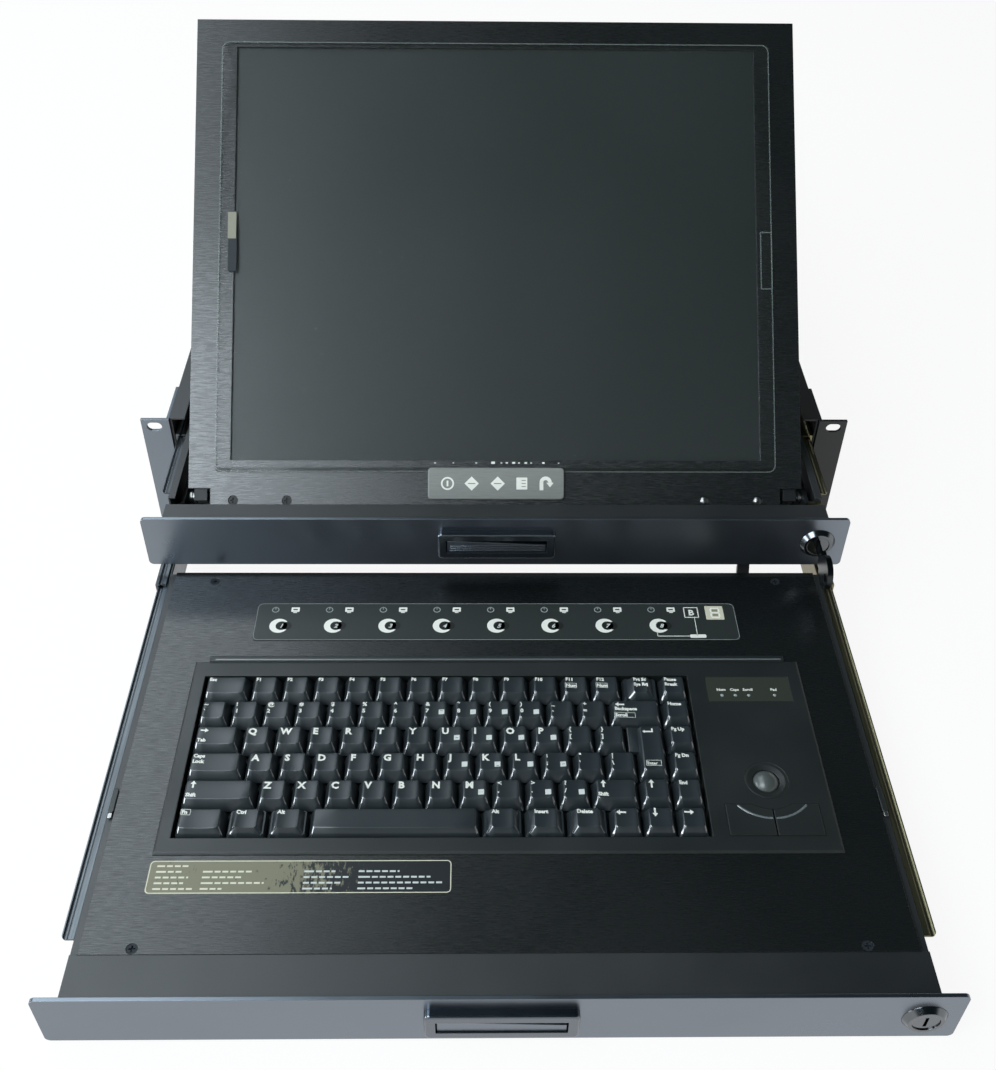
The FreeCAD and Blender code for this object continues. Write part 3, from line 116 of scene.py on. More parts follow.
def add_node(tree: Tree, kind: str, inputs: dict | None = None, **settings: object) -> bpy.types.Node:
    """Add a node with its settings, values and links.

    Args:
        tree: the material's or world's node tree.
        kind: the node's type, such as "ShaderNodeBsdfPrincipled".
        inputs: socket name or number to a value or to an output socket.
        settings: attributes of the node.

    Returns:
        The new node.
    """
    node = tree.nodes.new(kind)
    for name, value in settings.items():
        setattr(node, name, value)
    for socket, value in (inputs or {}).items():
        if isinstance(value, bpy.types.NodeSocket):
            tree.links.new(value, node.inputs[socket])
        else:
            node.inputs[socket].default_value = value
    return node


def noise(tree: Tree, place: Socket, scale: float, detail: float = 2.0,
          roughness: float = 0.5) -> Socket:
    """Noise over places, about 0 to 1."""
    return add_node(tree, "ShaderNodeTexNoise", {
        "Vector": place, "Scale": scale, "Detail": detail, "Roughness": roughness}).outputs["Fac"]


def stretch(tree: Tree, place: Socket, scale: Point) -> Socket:
    """Places scaled along each axis."""
    return add_node(tree, "ShaderNodeMapping", {"Vector": place, "Scale": scale}).outputs[0]


def remap(tree: Tree, value: Socket, source: Span = (0.0, 1.0), target: Span = (0.0, 1.0),
          **settings: object) -> Socket:
    """Value taken from one range to another."""
    return add_node(tree, "ShaderNodeMapRange", {
        "Value": value, "From Min": source[0], "From Max": source[1], "To Min": target[0],
        "To Max": target[1]}, **settings).outputs["Result"]


def blend(tree: Tree, share: Socket, first: tuple, second: tuple) -> Socket:
    """Colour between two."""
    return add_node(tree, "ShaderNodeMix", {"Factor": share, MIX_A: first, MIX_B: second},
                    data_type="RGBA").outputs[MIX_RESULT]


def reckon(tree: Tree, operation: str, first: Socket, second: Socket | float) -> Socket:
    """Result of a sum on two values."""
    return add_node(tree, "ShaderNodeMath", {0: first, 1: second}, operation=operation).outputs[0]


# ------------------------------------------------------------------ finishes

@dataclass(frozen=True)
class Finish:
    """Even finish: the base of the others.

    Args:
        name: material name.
        colour: sRGB hex colour.
        roughness: microfacet roughness.
        metallic: 1 for bare metal.
        ior: index of refraction of a dielectric.
        edge: radius in mm over which edges look rounded, 0 for none.
        sheen: tint of the mirror part.
    """
    name: str
    colour: str
    roughness: float = 0.5
    metallic: float = 0.0
    ior: float = 1.5
    edge: float = 0.0
    sheen: str = "#ffffff"

    def surface(self, tree: Tree, coords: Socket) -> dict:
        """Inputs of the shader that vary over the surface."""
        return {"Base Color": linear(self.colour), "Roughness": self.roughness}

    def values(self, tree: Tree) -> dict:
        """All inputs of the shader."""
        coords = add_node(tree, "ShaderNodeTexCoord").outputs["Object"]
        values = {"Metallic": self.metallic, "IOR": self.ior, "Specular Tint": linear(self.sheen),
                  **self.surface(tree, coords)}
        if self.edge and "Normal" not in values:
            values["Normal"] = self.rounded(tree)
        return values

    def rounded(self, tree: Tree) -> Socket:
        """Normal with softened edges."""
        return add_node(tree, "ShaderNodeBevel", {"Radius": self.edge * MM}, samples=4).outputs["Normal"]

    def bump(self, tree: Tree, height: Socket, strength: float, depth_mm: float) -> Socket:
        """Normal with a relief, over softened edges."""
        inputs = {"Height": height, "Strength": strength, "Distance": depth_mm * MM}
        if self.edge:
            inputs["Normal"] = self.rounded(tree)
        return add_node(tree, "ShaderNodeBump", inputs).outputs["Normal"]

    def rough_by(self, tree: Tree, value: Socket, less: float, more: float) -> Socket:
        """Roughness that follows a noise, from less than its own to more."""
        return remap(tree, value, NOISE_SPAN, (self.roughness - less, self.roughness + more))

    def material(self) -> bpy.types.Material:
        """Make the material, or return it if it was made before."""
        made = bpy.data.materials.get(self.name)
        if not made:
            made = bpy.data.materials.new(self.name)
            tree = empty_tree(made)
            shader = add_node(tree, "ShaderNodeBsdfPrincipled", self.values(tree))
            add_node(tree, "ShaderNodeOutputMaterial", {"Surface": shader.outputs[0]})
        return made


@dataclass(frozen=True)
class PowderCoat(Finish):
    """Black polyester powder coat on steel sheet: an even, faintly pebbled satin skin."""
    grit_mm: float = 0.5
    depth_mm: float = 0.012
    variation: float = 0.12

    def surface(self, tree: Tree, coords: Socket) -> dict:
        """Pebbled bump, and cloudy roughness as a handled coat has."""
        pebble = noise(tree, coords, 1 / (self.grit_mm * MM))
        cloud = noise(tree, coords, 12.0, 5.0, 0.6)
        return {"Base Color": blend(tree, cloud, linear(self.colour), linear(self.colour, 1.25)),
                "Roughness": self.rough_by(tree, cloud, self.variation / 2, self.variation / 2),
                "Normal": self.bump(tree, pebble, 0.5, self.depth_mm)}


@dataclass(frozen=True)
class Brushed(Finish):
    """Aluminium brushed along X and anodised black: fine straight strokes with a stretched sheen."""
    stroke_mm: float = 8.0
    width_mm: float = 0.5
    depth_mm: float = 0.012
    contrast: float = 0.5
    anisotropy: float = 0.6

    def surface(self, tree: Tree, coords: Socket) -> dict:
        """Strokes in colour, roughness, gloss and bump, drawn as coarse as they need to show."""
        along, across = 1 / (self.stroke_mm * MM), 1 / (self.width_mm * MM)
        stroke = noise(tree, stretch(tree, coords, (along, across, across)), 1.0, 3.0, 0.65)
        level = remap(tree, stroke, NOISE_SPAN)
        cloudy = reckon(tree, "MULTIPLY", level, noise(tree, coords, 9.0, 4.0))
        dark, light = linear(self.colour, 1 - self.contrast), linear(self.colour, 1 + self.contrast)
        return {"Base Color": blend(tree, level, dark, light),
                "Roughness": remap(tree, cloudy, (0.0, 0.6),
                                   (self.roughness + 0.08, self.roughness - 0.08)),
                "Normal": self.bump(tree, stroke, 0.3, self.depth_mm),
                "Anisotropic": self.anisotropy,
                "Tangent": add_node(tree, "ShaderNodeCombineXYZ", {"X": 1.0}).outputs["Vector"],
                "Specular IOR Level": remap(tree, level, target=(0.4, 0.6))}


@dataclass(frozen=True)
class Moulded(Finish):
    """Injection moulded ABS with a spark-eroded texture: matt with a fine even grain."""
    grain_mm: float = 0.45
    depth_mm: float = 0.02

    def surface(self, tree: Tree, coords: Socket) -> dict:
        """Grain bump and a slight polish where hands rub."""
        scale = 1 / (self.grain_mm * MM)
        grain = add_node(tree, "ShaderNodeTexVoronoi", {"Vector": coords, "Scale": scale})
        rub = noise(tree, coords, 25.0, 4.0)
        return {"Base Color": linear(self.colour), "Roughness": self.rough_by(tree, rub, 0.07, 0.05),
                "Normal": self.bump(tree, grain.outputs["Distance"], 0.35, self.depth_mm)}


@dataclass(frozen=True)
class ZincPlate(Finish):
    """Cold-rolled steel with passivated zinc, rubbed in streaks along the travel."""
    second: str = "#8a7f5c"

    def surface(self, tree: Tree, coords: Socket) -> dict:
        """Streaks along Y, between two passivation tints."""
        streak = noise(tree, stretch(tree, coords, (900.0, 12.0, 900.0)), 1.0, 4.0)
        cloud = noise(tree, coords, 40.0, 4.0)
        return {"Base Color": blend(tree, cloud, linear(self.colour), linear(self.second)),
                "Roughness": self.rough_by(tree, streak, 0.1, 0.12)}


@dataclass(frozen=True)
class Dusty(Finish):
    """Smooth surface with a few specks of dust."""
    specks: float = 160.0
    dust: str = "#b9bdbb"

    def surface(self, tree: Tree, coords: Socket) -> dict:
        """Sparse pale dots on an even colour."""
        cells = add_node(tree, "ShaderNodeTexVoronoi", {"Vector": coords, "Scale": self.specks})
        dot = reckon(tree, "LESS_THAN", cells.outputs["Distance"], 0.035)
        some = reckon(tree, "GREATER_THAN", noise(tree, coords, 30.0), 0.62)
        mask = reckon(tree, "MULTIPLY", dot, some)
        haze = noise(tree, coords, 7.0, 6.0)
        return {"Base Color": blend(tree, mask, linear(self.colour), linear(self.dust)),
                "Roughness": self.rough_by(tree, haze, 0.04, 0.05)}


@dataclass(frozen=True)
class BronzeEndFilm(Finish):
    """Dark film, bronze towards one end along X, with a ragged edge of upright streaks."""
    bronze: str = "#8d896f"
    start_mm: float = 0.0
    reach_mm: float = 30.0

    def surface(self, tree: Tree, coords: Socket) -> dict:
        """Bronze up to a place along X, ragged by a stretched noise."""
        way = add_node(tree, "ShaderNodeSeparateXYZ", {0: coords}).outputs["X"]
        streak = noise(tree, stretch(tree, coords, (420.0, 150.0, 150.0)), 1.0, 5.0, 0.7)
        far = remap(tree, way, (self.start_mm * MM, (self.start_mm + self.reach_mm) * MM), (0.66, 0.3))
        share = remap(tree, reckon(tree, "SUBTRACT", far, streak), (-0.03, 0.03))
        return {"Base Color": blend(tree, share, linear(self.colour), linear(self.bronze)),
                "Roughness": self.roughness}


@dataclass(frozen=True)
class ClearSheet(Finish):
    """Clear acrylic: a thin sheet that mostly lets the frame show through."""
    opacity: float = 0.18

    def values(self, tree: Tree) -> dict:
        """Gloss over a see-through body."""
        return {"Base Color": linear(self.colour), "Roughness": self.roughness, "IOR": self.ior,
                "Alpha": self.opacity}


class Coat(Enum):
    """The finishes of this drawer."""
    FRONT = PowderCoat("satin_black_front", "#090c0f", 0.32, ior=3.1, edge=0.6, sheen="#e2eefc")
    STEEL = PowderCoat("black_powder_coat", "#0c0f11", 0.47, ior=1.85, edge=0.5)
    CHASSIS = PowderCoat("chassis_powder_coat", "#0c1014", 0.44, ior=1.9, edge=0.6)
    # Painted shade: a duller, darker copy of the black coat, on the right ear and right side frame so they
    # render darker than the lit left side; also on the base plate and hinge parts.
    MATT_SHADE = PowderCoat("matt_black_painted_shade", "#0b0e10", 0.5, ior=1.55, edge=0.5)
    BRUSHED = Brushed("black_brushed_aluminium", "#090c0c", 0.26, ior=1.75, edge=0.4)
    HANDLE = Moulded("glossy_moulded_handle", "#0a0e11", 0.2, ior=2.4, edge=0.6, depth_mm=0.003,
                     sheen="#e2eefc")
    CASE = Moulded("textured_abs_case", "#1d2120", 0.42, ior=1.6, edge=0.8)
    KEY = Moulded("textured_abs_key", "#262c2f", 0.34, ior=1.6, grain_mm=0.35, depth_mm=0.012)
    KEY_EDGE = Finish("polished_key_corner", "#2c3235", 0.12, ior=2.3)
    BALL = Finish("satin_resin_ball", "#4a4e4c", 0.3, ior=1.6)
    ZINC = ZincPlate("yellow_zinc_plate", "#8a846a", 0.36, 1.0, second="#6f6951")
    ZINC_COOL = ZincPlate("blue_zinc_plate", "#6b6f72", 0.34, 1.0, second="#565b5f")
    BRIGHT = ZincPlate("bright_zinc_screw", "#c8c8c4", 0.34, 1.0, second="#9a9a98")
    DARK_SCREW = Finish("blackened_screw", "#20262b", 0.6, ior=1.4)
    NICKEL = Finish("black_nickel", "#6a6d70", 0.16, 1.0, edge=0.5)
    KEY_STEEL = Finish("worn_dark_key", "#3a3d3f", 0.26, 1.0, edge=0.4)
    FILM = Finish("satin_overlay_film", "#2b2f2d", 0.38, edge=0.2)
    HINT = BronzeEndFilm("bronze_end_hint_film", "#171b1f", 0.4, bronze="#75725c", start_mm=-128.0, reach_mm=70.0)
    DISC = Finish("dark_film_print", "#101412", 0.5)
    SMOKED = Finish("smoked_lamp_window", "#363931", 0.3)
    PANEL = Dusty("anti_glare_panel", "#171d1b", 0.42)
    SHEET = ClearSheet("clear_acrylic_sheet", "#7a827f", 0.12, ior=1.49, opacity=0.025)
    # Painted highlight: a pale, half see-through band where the sheet's edge catches the light.
    SHEET_EDGE_HIGHLIGHT = ClearSheet("sheet_edge_painted_highlight", "#8f9894", 0.2, ior=1.49, opacity=0.24)
    PAD = Brushed("silver_grey_film", "#797a75", 0.4, edge=0.3, contrast=0.08, stroke_mm=9.0)
    TAPE = Finish("aged_tape", "#7e7c6b", 0.5)
    INK = Finish("white_pad_print", "#e8e6dc", 0.6)
    PALE_INK = Finish("pale_pad_print", "#c6c9c4", 0.6)
    # Grey print; also a painted highlight along the channel film's edge.
    GREY_INK = Finish("grey_print_and_painted_edge_highlight", "#979c9a", 0.6)
    CREAM = Finish("cream_display_window", "#d2cdb6", 0.4)
    SEGMENT = Finish("unlit_segment", "#f3f0e2", 0.5)
    SEGMENT_GAP = Finish("display_gap", "#8d896f", 0.5)
    # Painted highlight: light grey strips along the housing's ledge and the dish rim, where a moulded edge
    # catches the light.
    PAINTED_HIGHLIGHT = Finish("abs_edge_painted_highlight", "#666c6e", 0.2, ior=1.7)
    # Painted shadow: near-black bands round the mouse buttons, standing in for the shade in their gaps.
    GAP_SHADOW = Finish("painted_gap_shadow", "#050505", 0.8)


# ------------------------------------------------------------------ pieces

SHARP_ANGLE = math.radians(40)


class Piece:
    """Mesh in the making, in millimetres, that ends as one object riding on a body."""

    def __init__(self, name: str) -> None:
        """Start an empty mesh for the named piece."""
        self.name = name
        self.bm = bmesh.new()
        self.coats: list[Coat] = []

    def coat_index(self, coat: Coat) -> int:
        """Slot number of a finish on this piece, added if new."""
        if coat not in self.coats:
            self.coats.append(coat)
        return self.coats.index(coat)

    def merge(self, other: Mesh, *coats: Coat) -> None:
        """Take over another mesh's faces; its material numbers count in the given finishes."""
        slots = [self.coat_index(coat) for coat in coats]
        for face in other.faces:
            face.material_index = slots[min(face.material_index, len(slots) - 1)]
        mesh = to_mesh(other, "part")
        self.bm.from_mesh(mesh)
        bpy.data.meshes.remove(mesh)

    def finish(self, body: str, slot: str | None = None, replaces: Iterable[str] = (), smooth: bool = True,
               bevel: float = 0.0) -> bpy.types.Object:
        """Write the mesh as an object and hang it on its body.

        Args:
            body: CAD body it moves with.
            slot: the record's material slot, if it has one.
            replaces: CAD nodes it stands for.
            smooth: shade smooth, with sharp edges kept.
            bevel: width in mm of a bevel on sharp edges.

        Returns:
            The object.
        """
        bmesh.ops.scale(self.bm, vec=(MM, MM, MM), verts=self.bm.verts)
        mesh = to_mesh(self.bm, self.name)
        for coat in self.coats:
            mesh.materials.append(coat.value.material())
        obj = add_object(self.name, mesh)
        if bevel:
            edge = obj.modifiers.new("edges", "BEVEL")
            edge.width, edge.segments, edge.limit_method = bevel * MM, 2, "ANGLE"
        if smooth:
            mesh.shade_smooth()
            mesh.set_sharp_from_angle(angle=SHARP_ANGLE)
        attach(obj, body)
        if replaces:
            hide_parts(*replaces)
        LOG.info("%s: %d faces on %s", self.name, len(mesh.polygons), body)
        return obj


def around(middle: float, half: float) -> Span:
    """Bounds at both sides of a middle."""
    return middle - half, middle + half


def outward(bm: Mesh) -> Mesh:
    """The mesh with its faces turned outwards."""
    bmesh.ops.recalc_face_normals(bm, faces=bm.faces)
    return bm


def to_mesh(bm: Mesh, name: str) -> bpy.types.Mesh:
    """Mesh data with that name; the editable mesh is freed."""
    mesh = bpy.data.meshes.new(name)
    bm.to_mesh(mesh)
    bm.free()
    return mesh


def open_edges(bm: Mesh) -> list[Edge]:
    """Edges with one face only."""
    return [e for e in bm.edges if len(e.link_faces) == 1]


def split(bm: Mesh, at: Point, normal: Point, drop_far: bool = False) -> None:
    """Split the faces along a plane, and if asked drop what lies beyond it and close the end."""
    bmesh.ops.bisect_plane(bm, geom=bm.verts[:] + bm.edges[:] + bm.faces[:], plane_co=at, plane_no=normal,
                           clear_outer=drop_far)
    if drop_far:
        bmesh.ops.holes_fill(bm, edges=open_edges(bm))


def pull(bm: Mesh, faces: list[Face], rise: float) -> None:
    """Extrude faces along Z."""
    made = bmesh.ops.extrude_face_region(bm, geom=faces)
    lifted = [v for v in made["geom"] if isinstance(v, Vert)]
    bmesh.ops.translate(bm, vec=(0, 0, rise), verts=lifted)


def ease(bm: Mesh, edges: list[Edge], width: float, segments: int, mark: int = -1) -> None:
    """Bevel edges; a mark of 0 or more is the new faces' material number."""
    bmesh.ops.bevel(bm, geom=edges, offset=width, segments=segments, profile=0.5, affect="EDGES",
                    material=mark)


def block(x: Span, y: Span, z: Span) -> Mesh:
    """Box between given bounds."""
    bm = bmesh.new()
    bmesh.ops.create_cube(bm, size=1.0)
    bmesh.ops.scale(bm, vec=(x[1] - x[0], y[1] - y[0], z[1] - z[0]), verts=bm.verts)
    bmesh.ops.translate(bm, vec=((x[0] + x[1]) / 2, (y[0] + y[1]) / 2, (z[0] + z[1]) / 2), verts=bm.verts)
    return bm


def rounded_block(x: Span, y: Span, z: Span, radius: float,
                  segments: int = 4, top: float = 0.0) -> Mesh:
    """Box whose upright corners are round, and whose top edge may be eased.

    Args:
        x, y, z: bounds.
        radius: corner radius seen from above.
        segments: faces in each corner.
        top: width of the bevel round the top face.

    Returns:
        The mesh.
    """
    bm = block(x, y, z)
    upright = [e for e in bm.edges if abs((e.verts[0].co - e.verts[1].co).normalized().z) > 0.9]
    ease(bm, upright, radius, segments)
    if top:
        rim = [e for e in bm.edges if all(abs(v.co.z - z[1]) < 1e-6 for v in e.verts)]
        ease(bm, rim, top, 2)
    return bm


def outline_frame(x: Span, y: Span, z: Span, radius: float, line: float) -> Mesh:
    """Thin printed outline of a rounded rectangle, line wide."""
    bm = rounded_block(x, y, z, radius)
    caps = sorted((f for f in bm.faces if abs(f.normal.z) > 0.9), key=lambda face: face.normal.z)
    bmesh.ops.inset_region(bm, faces=caps, thickness=line, use_even_offset=True)
    rims = [e for face in caps for e in face.edges]
    bmesh.ops.delete(bm, geom=caps, context="FACES_ONLY")
    bmesh.ops.bridge_loops(bm, edges=[e for e in rims if e.is_valid])
    return bm


def disc(radius: float, z: Span, at: Span, segments: int = 24,
         hole: float = 0.0, shift: float = 0.0) -> Mesh:
    """Flat disc or ring.

    Args:
        radius: outer radius.
        z: lower and upper face.
        at: centre.
        segments: corners round the edge.
        hole: radius of the hole, 0 for none.
        shift: how far the hole is moved along X.

    Returns:
        The mesh.
    """
    bm = bmesh.new()
    loops = []
    for level in z:
        for size, dx in ((radius, 0.0), (hole, shift)):
            if not size:
                continue
            ring = bmesh.ops.create_circle(bm, cap_ends=False, segments=segments, radius=size,
                                           matrix=Matrix.Translation((at[0] + dx, at[1], level)))
            loops.append(list({e for v in ring["verts"] for e in v.link_edges}))
    if hole:
        for a, b in ((0, 1), (2, 3), (0, 2), (1, 3)):
            bmesh.ops.bridge_loops(bm, edges=loops[a] + loops[b])
    else:
        bmesh.ops.bridge_loops(bm, edges=loops[0] + loops[1])
        bmesh.ops.holes_fill(bm, edges=open_edges(bm))
    return outward(bm)


def lathe(profile: Iterable[Span], at: Vector, axis: Vector, segments: int = 40) -> Mesh:
    """Turn a profile of (radius, distance) about an axis through a point."""
    bm = bmesh.new()
    verts = [bm.verts.new((r, 0.0, h)) for r, h in profile]
    edges = [bm.edges.new(pair) for pair in zip(verts, verts[1:])]
    bmesh.ops.spin(bm, geom=verts + edges, cent=(0, 0, 0), axis=(0, 0, 1), angle=math.tau, steps=segments,
                   use_merge=True)
    bmesh.ops.remove_doubles(bm, verts=bm.verts, dist=1e-4)
    bmesh.ops.recalc_face_normals(bm, faces=bm.faces)
    turn = UP.rotation_difference(axis).to_matrix().to_4x4()
    bmesh.ops.transform(bm, matrix=Matrix.Translation(at) @ turn, verts=bm.verts)
    return bm


def ribbon(points: list[Span], z: Span, width: float) -> Mesh:
    """Flat band round the outside of a closed outline.

    Args:
        points: corners of the outline, in turn.
        z: lower and upper face.
        width: of the band.

    Returns:
        The mesh.
    """
    ring = [Vector(point) for point in points]
    area = sum(here.cross(there) for here, there in zip(ring, ring[1:] + ring[:1]))
    side = 1.0 if area > 0 else -1.0
    outer = []
    for before, here, after in zip(ring[-1:] + ring[:-1], ring, ring[1:] + ring[:1]):
        coming, going = (here - before).normalized(), (after - here).normalized()
        first, second = Vector((coming.y, -coming.x)) * side, Vector((going.y, -going.x)) * side
        outer.append(here + (first + second) * width / (1.0 + first.dot(second)))
    bm = bmesh.new()
    near = [bm.verts.new((*corner, z[1])) for corner in ring]
    far = [bm.verts.new((*corner, z[1])) for corner in outer]
    for index in range(len(ring)):
        other = (index + 1) % len(ring)
        bm.faces.new((near[index], near[other], far[other], far[index]))
    pull(bm, bm.faces[:], z[0] - z[1])
    return outward(bm)


def ridge(centre: Span, radius: float, turn: Span, z: float, width: float,
          height: float, steps: int = 24) -> Mesh:
    """Low rounded ridge along an arc.

    Args:
        centre: the arc's centre.
        radius: its radius.
        turn: first and last angle in degrees.
        z: height of the surface it stands on.
        width: across the ridge.
        height: of its crest.
        steps: pieces along the arc.

    Returns:
        The mesh.
    """
    section = ((-0.5, 0.0), (-0.3, 0.75), (0.0, 1.0), (0.3, 0.75), (0.5, 0.0))
    bm = bmesh.new()
    rows = []
    for index in range(steps + 1):
        angle = math.radians(turn[0] + (turn[1] - turn[0]) * index / steps)
        cos, sin = math.cos(angle), math.sin(angle)
        rows.append([bm.verts.new((centre[0] + (radius + width * across) * cos,
                                   centre[1] + (radius + width * across) * sin, z + height * rise))
                     for across, rise in section])
    for near, far in zip(rows, rows[1:]):
        for index in range(len(section) - 1):
            bm.faces.new((near[index], near[index + 1], far[index + 1], far[index]))
    return outward(bm)


class Print:
    """Pad printing: flat words and signs laid on a surface."""

    def __init__(self, name: str, thick: float = 0.05) -> None:
        """Start a print of that thickness in mm."""
        self.piece = Piece(name)
        self.thick = thick

    def words(self, text: str, size: float, at: Point, lay: Callable | None = None,
              coat: Coat = Coat.INK, bold: float = 0.03, centred: bool = False, slant: float = 0.0) -> None:
        """Print a line of lettering.

        Args:
            text: what it says.
            size: font size in mm.
            at: left end of the baseline.
            lay: function that gives the height to add at (x, y), or None where the surface is flat.
            coat: ink.
            bold: how far the strokes grow, as a share of the size.
            centred: whether at is the middle instead.
            slant: shear of italic lettering.
        """
        curve = bpy.data.curves.new("lettering", "FONT")
        curve.body, curve.size, curve.offset, curve.resolution_u = text, size, bold * size, 2
        curve.extrude, curve.shear = self.thick / 2, slant
        curve.align_x = "CENTER" if centred else "LEFT"
        holder = add_object("lettering", curve)
        bpy.context.view_layer.update()
        drawn = holder.evaluated_get(bpy.context.evaluated_depsgraph_get())
        mesh = bpy.data.meshes.new_from_object(drawn)
        bm = bmesh.new()
        bm.from_mesh(mesh)
        bpy.data.objects.remove(holder)
        bpy.data.curves.remove(curve)
        bpy.data.meshes.remove(mesh)
        bmesh.ops.translate(bm, vec=(at[0], at[1], at[2] + self.thick / 2), verts=bm.verts)
        self.shape(bm, lay, coat)

    def shape(self, bm: Mesh, lay: Callable | None = None, coat: Coat = Coat.INK) -> None:
        """Print a ready-made flat shape, bent to the surface."""
        if lay:
            for vert in bm.verts:
                vert.co.z += lay(vert.co.x, vert.co.y)
        self.piece.merge(bm, coat)

    def bar(self, x: Span, y: Span, z: float, lay: Callable | None = None,
            coat: Coat = Coat.INK) -> None:
        """Print a filled rectangle."""
        self.shape(block(x, y, (z, z + self.thick)), lay, coat)

    def boxed(self, x: Span, y: Span, z: float, line: float = 0.25,
              lay: Callable | None = None, coat: Coat = Coat.INK) -> None:
        """Print an empty box."""
        self.shape(outline_frame(x, y, (z, z + self.thick), 0.3, line), lay, coat)

    def arrow(self, at: Point, length: float, turn: float, lay: Callable | None = None,
              head: float = 1.1, shaft: float = 0.45) -> None:
        """Print an arrow that points along X before it is turned.

        Args:
            at: its middle.
            length: tip to tail.
            turn: angle in degrees, counter-clockwise.
            lay: height of the surface.
            head: half width of the head.
            shaft: half width of the shaft.
        """
        bm = bmesh.new()
        back = length / 2 - head * 1.3
        for points in (((-length / 2, -shaft), (back, -shaft), (back, shaft), (-length / 2, shaft)),
                       ((back, -head), (length / 2, 0), (back, head))):
            face = bm.faces.new([bm.verts.new((x, y, 0)) for x, y in points])
            bmesh.ops.recalc_face_normals(bm, faces=[face])
        pull(bm, bm.faces[:], self.thick)
        bmesh.ops.recalc_face_normals(bm, faces=bm.faces)
        turned = Matrix.Rotation(math.radians(turn), 4, "Z")
        bmesh.ops.transform(bm, matrix=Matrix.Translation(at) @ turned, verts=bm.verts)
        self.shape(bm, lay)


# ------------------------------------------------------------------ keys

@dataclass(frozen=True)
class Key:
    """One key: its width in columns and what is printed on it.

    Args:
        width: columns.
        main: large sign at the back left corner.
        lines: small lines, from the back.
        pad: sign of the small boxed number pad, or empty.
        arrow: direction of a printed arrow in degrees, or None.
        step: share of a column by which each side of the top steps in.
        boxed: whether the last small line stands in a box.
    """
    width: float = 1.0
    main: str = ""
    lines: tuple[str, ...] = ()
    pad: str = ""
    arrow: float | None = None
    step: float = 0.0
    boxed: bool = False


def pairs(text: str, pads: dict[str, str] | None = None) -> list[Key]:
    """Keys with two signs each, written as upper and lower sign in turn."""
    keys = []
    for upper, lower in zip(text[::2], text[1::2]):
        keys.append(Key(lines=(upper, lower), pad=(pads or {}).get(lower, "")))
    return keys


def letters(text: str, pads: dict[str, str]) -> list[Key]:
    """Keys with one capital each."""
    return [Key(main=letter, pad=pads.get(letter, "")) for letter in text]


@dataclass(frozen=True)
class Lettering:
    """How one kind of sign is set on a key's top, in mm.

    Args:
        size: font size.
        base: first baseline, in front of the top's back edge.
        drop: from line to line.
        bold: how far the strokes grow, as a share of the size.
    """
    size: float
    base: float
    drop: float
    bold: float


PRINT_LIFT = 0.02
CAPITAL = Lettering(5.8, 5.2, 0.0, 0.045)
SIGN = Lettering(3.7, 3.4, 4.9, 0.04)
WORD = Lettering(3.1, 3.0, 3.7, 0.05)


